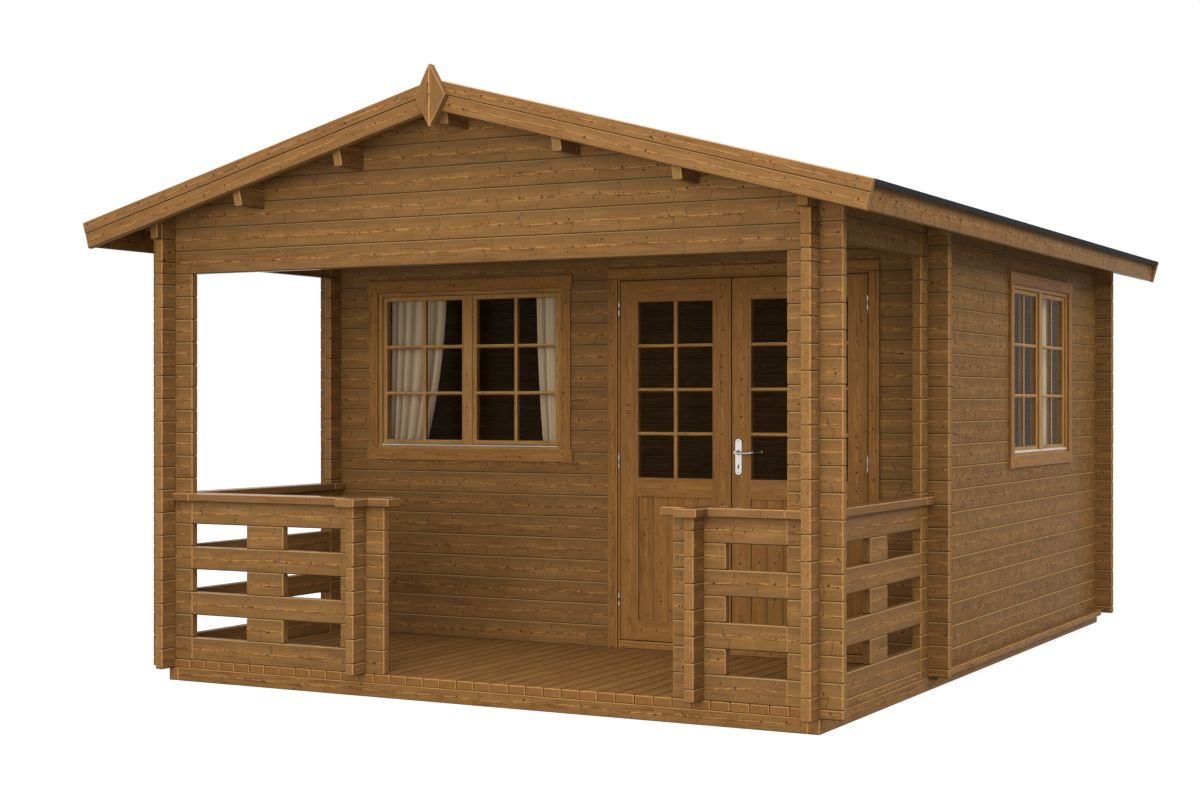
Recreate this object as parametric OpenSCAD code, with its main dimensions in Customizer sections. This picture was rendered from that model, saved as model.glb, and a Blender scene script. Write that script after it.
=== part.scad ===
// Log cabin for the garden, with a roofed porch, a double door and two windows.
// Millimetres, +Z up, front towards -Y.
// The origin is on the ground, at the middle of the whole outline.

/* [Cabin] */
// Width across the outer faces of the side walls
cabin_w = 3700; // [3600:10:4200]
// Depth from the front face of the gable to the outer face of the rear wall
cabin_d = 5040; // [4800:10:5600]
// Depth of the porch, from the gable to the wall with the door
porch_d = 1500; // [1300:10:1700]

/* [Logs] */
// Thickness of a wall log
log_t = 46; // [40:1:52]
// Height of one course of logs
log_h = 120; // [116:1:124]
// Length of the log ends past each crossing
log_end = 110; // [80:5:130]
// Courses below the underside of the front lintel
lintel_courses = 17; // [16:1:18]
// Height of a side wall above the deck, at its outer face
side_wall_h = 2376; // [2340:1:2440]

/* [Base and floor] */
// Height of the base beams
base_h = 70; // [50:1:100]
// Width of a base beam
base_w = 60; // [46:1:80]
// Greatest distance between two cross beams
base_pitch = 700; // [500:10:900]
// Thickness of the deck boards and of the floor boards
deck_t = 44; // [36:1:48]
// Thickness of the strip at the foot of an enclosed side wall
foot_strip_t = 40; // [20:1:60]
// Height of that strip
foot_strip_h = 34; // [20:1:44]

/* [Porch railings] */
// Courses in a railing, open and closed ones in turn
rail_courses = 7; // [5:2:9]
// Length of the left front railing, from the side wall to its free end
rail_left_l = 1330; // [1200:10:1400]
// Length of the right front railing, from the side wall to its free end
rail_right_l = 677; // [600:1:720]
// Width of the block in the middle of an open course
rail_block_w = 235; // [150:5:300]
// Width of a cap board
cap_w = 112; // [90:1:140]
// Thickness of a cap board
cap_t = 42; // [30:1:50]
// How far a cap board runs past the log ends
cap_over = 46; // [20:1:60]

/* [Roof] */
// Pitch of the roof in degrees
roof_pitch = 15; // [13:0.5:17]
// Overhang of the roof past a side wall, measured level
eave_over = 350; // [250:5:400]
// Overhang of the roof boards past the front and rear walls
gable_over = 240; // [200:5:300]
// Thickness of the roof boards
board_t = 19; // [16:1:24]
// Thickness of the roof felt
felt_t = 8; // [4:1:12]
// Width of a purlin
purlin_w = 46; // [40:1:70]
// Height of a purlin
purlin_h = 172; // [120:1:180]
// Distance between two purlins
purlin_pitch = 620; // [560:1:640]
// Length of a purlin past the gable
purlin_over = 235; // [140:5:235]
// Length of the wall plate past the gable
plate_over = 150; // [130:5:190]
// How far the foot of a purlin's end is set back
purlin_cut = 50; // [5:1:60]
// Height of a bargeboard, square to the slope
barge_h = 142; // [120:1:170]
// Thickness of a bargeboard
barge_t = 32; // [20:1:40]
// Height of the cover strip along the top of a bargeboard
strip_h = 62; // [40:1:80]
// Thickness of that cover strip
strip_t = 6; // [4:1:20]
// Height of an eave board
fascia_h = 113; // [90:1:130]
// Thickness of an eave board
fascia_t = 20; // [16:1:28]
// Distance of an eave board from the roof's edge
fascia_in = 40; // [10:1:50]
// Width of the diamond at the front of the ridge
finial_w = 170; // [120:2:220]
// Height of the diamond
finial_h = 298; // [240:2:360]
// Thickness of the diamond at its middle line
finial_t = 42; // [26:1:50]
// Thickness of the diamond at its left and right corners
finial_edge_t = 36; // [10:1:40]
// Distance from the top of the ridge down to the middle of the diamond
finial_drop = 84; // [60:1:110]

/* [Door] */
// Width of the left leaf
leaf_left_w = 668; // [620:1:700]
// Width of the right leaf
leaf_right_w = 768; // [720:1:800]
// Thickness of a leaf
leaf_t = 42; // [38:1:46]
// Height of a leaf
leaf_h = 1980; // [1900:5:2000]
// Gap between the two leaves
leaf_gap = 8; // [8:0.5:10]
// Gap between a leaf and the frame
frame_gap = 5; // [5:0.5:7]
// Gap between a leaf and the threshold
foot_gap = 6; // [6:0.5:8]
// Thickness of the frame around the leaves
door_frame_w = 42; // [30:1:50]
// Height of the frame over the leaves
door_head_h = 32; // [24:1:40]
// Depth of the frame into the cabin
door_frame_d = 74; // [70:1:90]
// Width of the stop behind the leaves
door_stop_w = 16; // [10:1:20]
// Height of the threshold
threshold_h = 45; // [30:1:60]
// Distance from the door's casing to the side wall
door_side = 212; // [150:1:240]
// Width of the casing boards of the door
door_casing_w = 57; // [50:1:70]
// Width of the stiles of a leaf
stile_w = 108; // [90:1:120]
// Height of the top rail of a leaf
top_rail_h = 118; // [90:1:140]
// Height of the glazed part of a leaf
door_glass_h = 965; // [900:5:1000]
// Height of the middle rail of a leaf
mid_rail_h = 107; // [80:1:130]
// Height of the bottom rail of a leaf
bottom_rail_h = 110; // [90:1:140]
// Depth of the recess of the lower panel on each face
panel_recess = 10; // [6:1:13]
// Height of the lever above the bottom of the leaf
lever_z = 1042; // [1000:1:1060]
// Distance of the lever's spindle from the edge of the leaf
lever_in = 40; // [34:1:50]
// Length of the lever
lever_l = 112; // [90:1:130]
// Length of one hinge
hinge_l = 90; // [70:1:110]
// Height of the lowest hinge above the bottom of the leaf
hinge_low = 230; // [150:5:300]
// Distance of the highest hinge below the top of the leaf
hinge_high = 160; // [120:5:300]
// Radius of a hinge knuckle
hinge_r = 6; // [5:0.5:6]

/* [Windows] */
// Width over the casing of a window
window_w = 1386; // [1300:2:1400]
// Height over the casing of the porch window
porch_window_h = 1054; // [960:2:1080]
// Height over the casing of the side window
side_window_h = 1142; // [1040:2:1170]
// Height of the middle of both windows above the deck
window_mid = 1550; // [1500:5:1560]
// Distance from the casing of the porch window to the side wall
window_side = 198; // [150:1:220]
// Distance from the casing of the side window to the rear face of the cabin
window_rear = 716; // [500:2:900]
// Width of the casing boards of a window
casing_w = 72; // [60:1:80]
// Thickness of the casing boards
casing_t = 20; // [16:1:26]
// Width of the frame and the sash together that shows inside the casing
sash_w = 54; // [44:1:60]
// Width between the two panes of a window
mullion_w = 107; // [90:1:120]
// Depth of a window frame
window_frame_d = 60; // [50:1:70]
// Thickness of the panes
glass_t = 6; // [4:1:10]

/* [Curtains] */
// Width of the left curtain of the porch window
curtain_wide = 420; // [300:5:480]
// Width of the other curtains
curtain_narrow = 240; // [150:5:300]
// Depth of the folds of a curtain
curtain_t = 60; // [40:2:80]
// Radius of a curtain rod
rod_r = 8; // [6:1:12]
// Distance of a curtain rod from the wall
rod_out = 75; // [60:1:100]
// Distance of a curtain from the edge of the window's hole
curtain_in = 30; // [10:1:60]

/* [Hidden] */

// Colours of the timber, the lighter trim and the other materials
wood_log = "#8a6238";
wood_trim = "#9a7040";
wood_deck = "#75502c";
wood_base = "#845a31";
felt_dark = "#2b302e";
metal_grey = "#b8babb";
pane_dark = "#3c4a42";
cloth_cream = "#d9d0bf";

// Widths and levels that follow from the sizes above
half_w = cabin_w / 2;
inner_x = half_w - log_t;
end_x = half_w + log_end;
deck_z = base_h + deck_t;
lintel_z = deck_z + lintel_courses * log_h;
beam_z = lintel_z + log_h / 2;
plate_z = beam_z + log_h;
wall_top = deck_z + side_wall_h;
rail_top = deck_z + rail_courses * log_h;
porch_back = porch_d + log_t;
rear_inner = cabin_d - log_t;
eave_x = half_w + eave_over;
roof_rise = tan(roof_pitch);
board_z = board_t / cos(roof_pitch);
felt_z = felt_t / cos(roof_pitch);
roof_y0 = -gable_over;
roof_y1 = cabin_d + gable_over;
barge_y0 = roof_y0 - barge_t;
strip_y0 = barge_y0 - strip_t;
mid_y = (strip_y0 - finial_t + roof_y1 + barge_t + strip_t) / 2;
saw_cut = 1;
groove = 8;
pin_out = hinge_r + 2;
soft_gap = 0.3;
lay_gap = 0.1;
frame_plate_w = 6;
leaf_plate_w = 10;
eps = 0.01;

// Cross posts at the free ends of the front railings
entry_left_x = -inner_x + rail_left_l - log_end - log_t;
entry_right_x = inner_x - rail_right_l + log_end;

// Doorway, from the clear opening outwards
clear_w = leaf_left_w + leaf_right_w + leaf_gap + 2 * frame_gap;
casing_reveal = 8;
door_x1 = inner_x - door_side - door_casing_w - casing_reveal;
door_x0 = door_x1 - clear_w;
leaf_z0 = deck_z + threshold_h + foot_gap;
leaf_z1 = leaf_z0 + leaf_h;
head_z = leaf_z1 + frame_gap;
hole_x0 = door_x0 - door_frame_w;
hole_x1 = door_x1 + door_frame_w;
hole_z1 = head_z + door_head_h;
left_leaf_x = door_x0 + frame_gap;
right_leaf_x = left_leaf_x + leaf_left_w + leaf_gap;
right_leaf_x1 = right_leaf_x + leaf_right_w;
leaf_y1 = porch_d + leaf_t;
stop_y = leaf_y1 + frame_gap;
spindle_x = right_leaf_x + lever_in;
spindle_z = leaf_z0 + lever_z;
spindle_r = 5;
hinge_zs = [leaf_z0 + hinge_low, leaf_z0 + leaf_h / 2, leaf_z1 - hinge_high];
pin_in = 0.5;
left_pin_x = door_x0 + pin_in;
right_pin_x = door_x1 - pin_in;

// Windows: the hole in the wall is smaller than the casing
window_lap = 50;
window_z = deck_z + window_mid;
porch_window_x = -inner_x + window_side + window_w / 2;
side_window_y = cabin_d - window_rear - window_w / 2;
pane_y = 18;
frame_proud = 2;

// Top of what carries the roof, at a distance x from the middle
function under(x) = wall_top + (half_w - abs(x)) * roof_rise;
// Underside of the roof boards there, and of the felt on them
function board_low(x) = under(x) + lay_gap;
function felt_low(x) = board_low(x) + board_z + lay_gap;
// Top of the roof felt there
function top(x) = felt_low(x) + felt_z;

// A block between two corners
module block(a, b) {
    translate(a)
        cube(b - a);
}

// An outline in the X-Z plane, run from y0 to y1
module run_y(y0, y1) {
    translate([0, y1, 0])
        rotate([90, 0, 0])
            linear_extrude(y1 - y0)
                children();
}

// Moves the cabin so that the origin is under its middle
module placed() {
    translate([0, -mid_y, 0])
        children();
}

// The same piece on the right-hand side and its mirror image on the left
module side(s) {
    if (s > 0) children();
    else mirror([1, 0, 0]) children();
}

module both_sides() {
    side(1) children();
    side(-1) children();
}

// Underside of a purlin whose middle is x from the middle of the roof
function purlin_low(x) = under(abs(x) + purlin_w / 2) - purlin_h;

// The five purlins from y0 to y1, raised by more at the top where they cut slots in a wall
module purlin_solids(y0, y1, more) {
    for (i = [-2:2])
        let (x = i * purlin_pitch, x0 = x - purlin_w / 2, x1 = x + purlin_w / 2, z0 = purlin_low(x))
            run_y(y0, y1)
                polygon(i == 0
                    ? [[x0, z0], [x1, z0], [x1, under(x1) + more], [0, under(0) + more], [x0, under(x0) + more]]
                    : [[x0, z0], [x1, z0], [x1, under(x1) + more], [x0, under(x0) + more]]);
}

// A gable wall from z0 up to the roof, cut out around the purlins
module gable_wall(y0, z0) {
    difference() {
        run_y(y0, y0 + log_t)
            polygon([[-end_x, z0], [end_x, z0], [end_x, under(end_x)], [0, under(0)],
                     [-end_x, under(end_x)]]);
        purlin_solids(y0 - 1, y0 + log_t + 1, 1);
    }
}

module base_side_beams() {
    color(wood_base) placed() both_sides()
        block([half_w - base_w, 0, 0], [half_w, cabin_d, base_h]);
}

module base_cross_beams() {
    beam_x = half_w - base_w;
    back_y = cabin_d - base_w;
    wall_y = porch_d + log_t / 2 - base_w / 2;
    front_n = ceil((wall_y - base_w) / base_pitch);
    rear_n = ceil((back_y - wall_y) / base_pitch);
    ys = concat([for (i = [0:front_n - 1]) i * wall_y / front_n],
                [for (i = [0:rear_n]) wall_y + i * (back_y - wall_y) / rear_n]);
    color(wood_base) placed()
        for (y = ys) block([-beam_x, y, 0], [beam_x, y + base_w, base_h]);
}

module foot_strips() {
    color(wood_base) placed() both_sides()
        block([half_w, porch_back, base_h - foot_strip_h / 2],
              [half_w + foot_strip_t, rear_inner, base_h + foot_strip_h / 2]);
}

module porch_deck() {
    color(wood_deck) placed()
        block([-inner_x, 0, base_h], [inner_x, porch_d, deck_z]);
}

// Floor of the room, with a sill under the threshold
module cabin_floor() {
    color(wood_deck) placed() {
        block([-inner_x, porch_back, base_h], [inner_x, rear_inner, deck_z]);
        block([hole_x0, porch_d, base_h], [hole_x1, porch_back + eps, deck_z]);
    }
}

// A corner post is the crossing of front logs and side logs
module front_post(s) {
    color(wood_log) placed() side(s) {
        block([inner_x - log_end, 0, deck_z], [end_x, log_t, lintel_z]);
        block([inner_x, 0, base_h], [end_x, log_t, deck_z + eps]);
        block([inner_x, -log_end, base_h], [half_w, log_t + log_end, lintel_z]);
    }
}

module front_gable() {
    color(wood_log) placed() gable_wall(0, lintel_z);
}

// Two courses over the side of the porch, with the wall plate run out to the front
module porch_beam(s) {
    color(wood_log) placed() side(s) {
        run_y(log_t, porch_d - log_end)
            plate_outline(beam_z);
        run_y(-log_end, 0)
            plate_outline(lintel_z);
        run_y(-plate_over, -log_end + eps)
            plate_outline(plate_z);
    }
}

// Section of a side wall above z0, its top cut to the slope of the roof
module plate_outline(z0) {
    polygon([[inner_x, z0], [half_w, z0], [half_w, under(half_w)], [inner_x, under(inner_x)]]);
}

// Closed courses between two ends, with blocks at the middle of the open ones
module rail_courses(x0, x1, end0, end1, with_block) {
    for (k = [0:rail_courses - 1])
        let (z0 = deck_z + k * log_h, z1 = z0 + log_h)
            if (k % 2 == 0) block([x0, 0, z0], [x1, log_t, z1]);
            else {
                block([x0, 0, z0 - eps], [x0 + end0, log_t, z1 + eps]);
                block([x1 - end1, 0, z0 - eps], [x1, log_t, z1 + eps]);
                if (with_block)
                    let (mid = (x0 + end0 + x1 - end1) / 2)
                        block([mid - rail_block_w / 2, 0, z0 - eps],
                              [mid + rail_block_w / 2, log_t, z1 + eps]);
            }
}

module railing_front_left() {
    x0 = -inner_x + log_end;
    color(wood_log) placed()
        difference() {
            rail_courses(x0, entry_left_x + log_t + log_end, eps, 2 * log_end + log_t, true);
            block([entry_left_x, -1, deck_z - 1], [entry_left_x + log_t, log_t + 1, rail_top + 1]);
        }
}

module railing_front_right() {
    x1 = inner_x - log_end;
    color(wood_log) placed()
        difference() {
            rail_courses(entry_right_x - log_end, x1, 2 * log_end + log_t, eps, false);
            block([entry_right_x, -1, deck_z - 1], [entry_right_x + log_t, log_t + 1, rail_top + 1]);
        }
}

module railing_side(s) {
    color(wood_log) placed() side(s) {
        translate([half_w, 0, 0])
            rotate([0, 0, 90])
                rail_courses(log_t + log_end, porch_d - log_end, eps, eps, true);
        block([inner_x, log_t + log_end, base_h], [half_w, porch_d - log_end, deck_z + eps]);
    }
}

module entry_post(x) {
    color(wood_log) placed()
        block([x, -log_end, deck_z], [x + log_t, log_t + log_end, rail_top]);
}

// Cap boards of the front railings, let in around the corner posts,
// each with a short board over its cross post
module railing_caps_front() {
    y0 = (log_t - cap_w) / 2;
    color(wood_trim) placed()
        difference() {
            union() {
                front_cap(-inner_x, entry_left_x + log_t + log_end + cap_over, entry_left_x, y0);
                front_cap(entry_right_x - log_end - cap_over, inner_x, entry_right_x, y0);
            }
            both_sides()
                block([inner_x - log_end, 0, rail_top - 1], [inner_x + 1, log_t, rail_top + cap_t + 1]);
        }
}

module front_cap(x0, x1, post_x, y0) {
    mid = post_x + log_t / 2;
    block([x0, y0, rail_top], [x1, y0 + cap_w, rail_top + cap_t]);
    block([mid - cap_w / 2, -log_end - cap_over, rail_top],
          [mid + cap_w / 2, log_t + log_end + cap_over, rail_top + cap_t]);
}

module railing_caps_side() {
    y0 = (log_t + cap_w) / 2;
    x0 = half_w - log_t / 2 - cap_w / 2;
    color(wood_trim) placed() both_sides()
        difference() {
            block([x0, log_t, rail_top], [x0 + cap_w, porch_d, rail_top + cap_t]);
            block([0, 0, rail_top - 1], [inner_x, y0, rail_top + cap_t + 1]);
            block([inner_x, 0, rail_top - 1], [half_w, log_t + log_end, rail_top + cap_t + 1]);
            block([inner_x, porch_d - log_end, rail_top - 1], [half_w, porch_d + 1, rail_top + cap_t + 1]);
        }
}

// Hole in a wall behind a window; the wall's outer face is y = 0 and the window's middle x = 0
module window_hole(h) {
    block([window_lap - window_w / 2, -casing_t - 1, window_z - h / 2 + window_lap],
          [window_w / 2 - window_lap, log_t + 1, window_z + h / 2 - window_lap]);
}

// Stretch from x0 to x1 of the wall with the door and the porch window
module porch_wall(x0, x1) {
    color(wood_log) placed()
        difference() {
            gable_wall(porch_d, base_h);
            for (cut = [[-end_x - 1, x0], [x1, end_x + 1]])
                block([cut[0], porch_d - 1, base_h - 1], [cut[1], porch_back + 1, top(0)]);
            block([hole_x0, porch_d - 1, base_h - 1], [hole_x1, porch_back + 1, hole_z1]);
            translate([porch_window_x, porch_d, 0]) window_hole(porch_window_h);
        }
}

// Side logs of the room, with log ends before the porch wall and behind the rear wall
module side_wall_solids() {
    run_y(porch_back, rear_inner)
        plate_outline(base_h);
    run_y(porch_d - log_end, porch_d)
        plate_outline(base_h);
    run_y(cabin_d, cabin_d + log_end)
        plate_outline(base_h);
    run_y(cabin_d + log_end - eps, cabin_d + plate_over)
        plate_outline(plate_z);
}

// Turns a window drawn in the porch wall's frame into the right-hand wall
module on_right_wall() {
    translate([half_w, side_window_y, 0])
        rotate([0, 0, 90])
            children();
}

module left_wall() {
    color(wood_log) placed() side(-1) side_wall_solids();
}

module right_wall() {
    color(wood_log) placed()
        difference() {
            side_wall_solids();
            on_right_wall() window_hole(side_window_h);
        }
}

module rear_wall() {
    color(wood_log) placed() gable_wall(rear_inner, base_h);
}

// Five purlins through the three gable walls, with their ends cut back below
module purlins() {
    y0 = -purlin_over;
    y1 = cabin_d + purlin_over;
    color(wood_log) placed()
        difference() {
            purlin_solids(y0, y1, 0);
            for (i = [-2:2], end = [0, 1])
                let (x = i * purlin_pitch)
                    translate([x - purlin_w / 2 - 1, end == 0 ? y0 : y1, purlin_low(x)])
                        mirror([0, end, 0])
                            purlin_end_cut();
        }
}

module purlin_end_cut() {
    rotate([90, 0, 90])
        linear_extrude(purlin_w + 2)
            polygon([[-1, -1], [purlin_cut, -1], [purlin_cut, 0], [0, purlin_h], [-1, purlin_h]]);
}

module roof_boards(s) {
    edge_x = eave_x - felt_t - lay_gap;
    color(wood_trim) placed() side(s)
        run_y(roof_y0, roof_y1)
            polygon([[0, board_low(0)], [edge_x, board_low(edge_x)],
                     [edge_x, board_low(edge_x) + board_z], [0, board_low(0) + board_z]]);
}

// Felt on each slope, folded down over the edge of the boards
module roof_felt() {
    fold_x = eave_x - felt_t;
    color(felt_dark) placed() both_sides()
        run_y(roof_y0, roof_y1)
            polygon([[saw_cut / 2, felt_low(saw_cut / 2)], [fold_x, felt_low(fold_x)],
                     [fold_x, board_low(fold_x)], [eave_x, board_low(fold_x)],
                     [eave_x, top(eave_x)], [saw_cut / 2, top(saw_cut / 2)]]);
}

// Board along the slope, h high and square to it, both ends cut
module barge_outline(h) {
    polygon([[saw_cut / 2, top(saw_cut / 2)], [eave_x, top(eave_x)],
             [eave_x - h * sin(roof_pitch), top(eave_x) - h * cos(roof_pitch)],
             [saw_cut / 2, top(saw_cut / 2) - h / cos(roof_pitch)]]);
}

module bargeboards(y_roof, out) {
    board_ys = out < 0 ? [y_roof - barge_t, y_roof] : [y_roof, y_roof + barge_t];
    strip_ys = out < 0 ? [board_ys[0] - strip_t, board_ys[0] + eps] : [board_ys[1] - eps, board_ys[1] + strip_t];
    color(wood_trim) placed() both_sides() {
        run_y(board_ys[0], board_ys[1]) barge_outline(barge_h);
        run_y(strip_ys[0], strip_ys[1]) barge_outline(strip_h);
    }
}

module eave_boards() {
    x1 = eave_x - fascia_in;
    z0 = under(x1) - fascia_h;
    color(wood_trim) placed() both_sides()
        run_y(roof_y0, roof_y1)
            polygon([[x1 - fascia_t, z0], [x1, z0], [x1, under(x1)], [x1 - fascia_t, under(x1 - fascia_t)]]);
}

// Diamond with a raised middle line, in front of the cover strips
module ridge_diamond() {
    w = finial_w / 2;
    h = finial_h / 2;
    color(wood_trim) placed()
        translate([0, strip_y0, top(0) - finial_drop])
            intersection() {
                rotate([90, 0, 0])
                    linear_extrude(finial_t)
                        polygon([[0, -h], [w, 0], [0, h], [-w, 0]]);
                translate([0, 0, -h - 1])
                    linear_extrude(finial_h + 2)
                        polygon([[-w - 1, 1], [w + 1, 1], [w + 1, -finial_edge_t], [w, -finial_edge_t],
                                 [0, -finial_t], [-w, -finial_edge_t], [-w - 1, -finial_edge_t]]);
            }
}

// Jambs, head and threshold, with the stop behind the leaves
module door_frame() {
    y1 = porch_d + door_frame_d;
    color(wood_trim) placed()
        difference() {
            block([hole_x0, porch_d, deck_z], [hole_x1, y1, hole_z1]);
            block([door_x0, porch_d - 1, deck_z + threshold_h], [door_x1, stop_y, head_z]);
            block([door_x0 + door_stop_w, porch_d - 1, deck_z + threshold_h],
                  [door_x1 - door_stop_w, y1 + 1, head_z - door_stop_w]);
        }
}

module door_casing() {
    x0 = door_x0 - casing_reveal;
    x1 = door_x1 + casing_reveal;
    z1 = head_z + casing_reveal;
    color(wood_trim) placed()
        difference() {
            block([x0 - door_casing_w, porch_d - casing_t, deck_z],
                  [x1 + door_casing_w, porch_d, z1 + door_casing_w]);
            block([x0, porch_d - casing_t - 1, deck_z - 1], [x1, porch_d + 1, z1]);
        }
}

// One leaf from x0, w wide: stiles and rails around the glass and the lower panel
module leaf(x0, w) {
    glass_z1 = leaf_z1 - top_rail_h;
    glass_z0 = glass_z1 - door_glass_h;
    panel_z1 = glass_z0 - mid_rail_h;
    panel_z0 = leaf_z0 + bottom_rail_h;
    difference() {
        block([x0, porch_d, leaf_z0], [x0 + w, leaf_y1, leaf_z1]);
        block([x0 + stile_w, porch_d - 1, glass_z0], [x0 + w - stile_w, leaf_y1 + 1, glass_z1]);
        leaf_pane(x0, w);
        for (y = [[porch_d - 1, porch_d + panel_recess], [leaf_y1 - panel_recess, leaf_y1 + 1]])
            block([x0 + stile_w, y[0], panel_z0], [x0 + w - stile_w, y[1], panel_z1]);
    }
}

// Pane of a leaf, let into a groove all round
module leaf_pane(x0, w) {
    glass_z1 = leaf_z1 - top_rail_h;
    mid = porch_d + leaf_t / 2;
    block([x0 + stile_w - groove, mid - glass_t / 2, glass_z1 - door_glass_h - groove],
          [x0 + w - stile_w + groove, mid + glass_t / 2, glass_z1 + groove]);
}

module door_leaf_left() {
    color(wood_trim) placed() leaf(left_leaf_x, leaf_left_w);
}

module door_leaf_right() {
    color(wood_trim) placed()
        difference() {
            leaf(right_leaf_x, leaf_right_w);
            translate([spindle_x, porch_d - 1, spindle_z])
                rotate([-90, 0, 0])
                    cylinder(r = spindle_r + 1, h = leaf_t + 2, $fn = 32);
        }
}

module door_glass_left() {
    color(pane_dark) placed() leaf_pane(left_leaf_x, leaf_left_w);
}

module door_glass_right() {
    color(pane_dark) placed() leaf_pane(right_leaf_x, leaf_right_w);
}

// Half of a hinge: a knuckle on the pin line and a plate that reaches w from it to its own side
module knuckle(x, z, w) {
    translate([x, porch_d - pin_out, z])
        cylinder(r = hinge_r, h = hinge_l / 2 - soft_gap, $fn = 32);
    block([min(x, x + w), porch_d - pin_out, z], [max(x, x + w), porch_d, z + hinge_l / 2 - soft_gap]);
}

module frame_hinges() {
    color(metal_grey) placed()
        for (z = hinge_zs) {
            knuckle(left_pin_x, z - hinge_l / 2, -frame_plate_w);
            knuckle(right_pin_x, z - hinge_l / 2, frame_plate_w);
        }
}

module leaf_hinges(x, w) {
    color(metal_grey) placed()
        for (z = hinge_zs) knuckle(x, z, w);
}

// Long plates on both faces of the right leaf, with a bore for the spindle
module lock_plates() {
    plate_w = 38;
    plate_up = 75;
    plate_down = 121;
    plate_t = 6;
    color(metal_grey) placed()
        for (y = [porch_d - plate_t, leaf_y1])
            difference() {
                block([spindle_x - plate_w / 2, y, spindle_z - plate_down],
                      [spindle_x + plate_w / 2, y + plate_t, spindle_z + plate_up]);
                translate([spindle_x, y - 1, spindle_z])
                    rotate([-90, 0, 0])
                        cylinder(r = spindle_r + 0.5, h = plate_t + 2, $fn = 32);
            }
}

// Spindle through the leaf with a lever at each end
module door_lever() {
    reach = 46;
    bar_r = 8;
    color(metal_grey) placed() {
        translate([spindle_x, porch_d - reach, spindle_z])
            rotate([-90, 0, 0])
                cylinder(r = spindle_r, h = leaf_t + 2 * reach, $fn = 32);
        for (y = [porch_d - reach, leaf_y1 + reach])
            translate([spindle_x - bar_r, y, spindle_z])
                rotate([0, 90, 0])
                    cylinder(r = bar_r, h = lever_l, $fn = 32);
    }
}

// Frame and two sashes as one piece of joinery, with two panes let in
module window_joinery(h) {
    z0 = window_z - h / 2;
    z1 = window_z + h / 2;
    rim = casing_w + sash_w;
    difference() {
        block([window_lap - window_w / 2, -frame_proud, z0 + window_lap],
              [window_w / 2 - window_lap, window_frame_d - frame_proud, z1 - window_lap]);
        for (s = [-1, 1])
            block([min(s * mullion_w / 2, s * (window_w / 2 - rim)), -frame_proud - 1, z0 + rim],
                  [max(s * mullion_w / 2, s * (window_w / 2 - rim)), window_frame_d, z1 - rim]);
        window_panes(h);
    }
}

module window_panes(h) {
    z0 = window_z - h / 2 + casing_w + sash_w - groove;
    z1 = window_z + h / 2 - casing_w - sash_w + groove;
    x_in = mullion_w / 2 - groove;
    x_out = window_w / 2 - casing_w - sash_w + groove;
    for (s = [-1, 1])
        block([min(s * x_in, s * x_out), pane_y, z0], [max(s * x_in, s * x_out), pane_y + glass_t, z1]);
}

module window_casing(h) {
    x1 = window_w / 2;
    z0 = window_z - h / 2;
    z1 = window_z + h / 2;
    difference() {
        block([-x1, -casing_t, z0], [x1, 0, z1]);
        block([casing_w - x1, -casing_t - 1, z0 + casing_w], [x1 - casing_w, 1, z1 - casing_w]);
        block([window_lap - x1, -frame_proud, z0 + window_lap], [x1 - window_lap, 1, z1 - window_lap]);
    }
}

module in_both_windows() {
    translate([porch_window_x, porch_d, 0]) children(0);
    on_right_wall() children(1);
}

module window_frames() {
    color(wood_trim) placed()
        in_both_windows() {
            window_joinery(porch_window_h);
            window_joinery(side_window_h);
        }
}

module window_glass() {
    color(pane_dark) placed()
        in_both_windows() {
            window_panes(porch_window_h);
            window_panes(side_window_h);
        }
}

module window_casings() {
    color(wood_trim) placed()
        in_both_windows() {
            window_casing(porch_window_h);
            window_casing(side_window_h);
        }
}

// Rod on two brackets, inside over a window
module rod(h) {
    x1 = window_w / 2 - window_lap / 2;
    z = window_z + h / 2 - casing_w;
    bracket = 14;
    translate([-x1, log_t + rod_out, z])
        rotate([0, 90, 0])
            cylinder(r = rod_r, h = 2 * x1, $fn = 24);
    for (s = [-1, 1])
        block([s * (x1 - bracket) - bracket / 2, log_t, z - bracket / 2],
              [s * (x1 - bracket) + bracket / 2, log_t + rod_out, z + bracket / 2]);
}

module curtain_rods() {
    color(metal_grey) placed()
        in_both_windows() {
            rod(porch_window_h);
            rod(side_window_h);
        }
}

// Two curtains that hang from the rod, drawn to the sides
module curtain_pair(h, left_w, right_w) {
    x1 = window_w / 2 - window_lap - curtain_in;
    y0 = log_t + rod_out - curtain_t / 2;
    z1 = window_z + h / 2 - casing_w - rod_r - soft_gap;
    z0 = window_z - h / 2 + window_lap;
    block([-x1, y0, z0], [left_w - x1, y0 + curtain_t, z1]);
    block([x1 - right_w, y0, z0], [x1, y0 + curtain_t, z1]);
}

module curtains() {
    color(cloth_cream) placed()
        in_both_windows() {
            curtain_pair(porch_window_h, curtain_wide, curtain_narrow);
            curtain_pair(side_window_h, curtain_narrow, curtain_narrow);
        }
}

base_side_beams();
base_cross_beams();
foot_strips();
porch_deck();
cabin_floor();
front_post(-1);  // front_post_left
front_post(1);  // front_post_right
front_gable();
porch_beam(-1);  // porch_beam_left
porch_beam(1);  // porch_beam_right
railing_front_left();
railing_front_right();
railing_side(-1);  // railing_side_left
railing_side(1);  // railing_side_right
entry_post(entry_left_x);  // entry_post_left
entry_post(entry_right_x);  // entry_post_right
railing_caps_front();
railing_caps_side();
porch_wall(-end_x, hole_x0);  // porch_wall_left
porch_wall(hole_x1, end_x);  // porch_wall_right
porch_wall(hole_x0, hole_x1);  // porch_wall_top
left_wall();
right_wall();
rear_wall();
purlins();
roof_boards(-1);  // roof_boards_left
roof_boards(1);  // roof_boards_right
roof_felt();
bargeboards(roof_y0, -1);  // bargeboards_front
bargeboards(roof_y1, 1);  // bargeboards_rear
eave_boards();
ridge_diamond();
door_frame();
door_casing();
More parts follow.
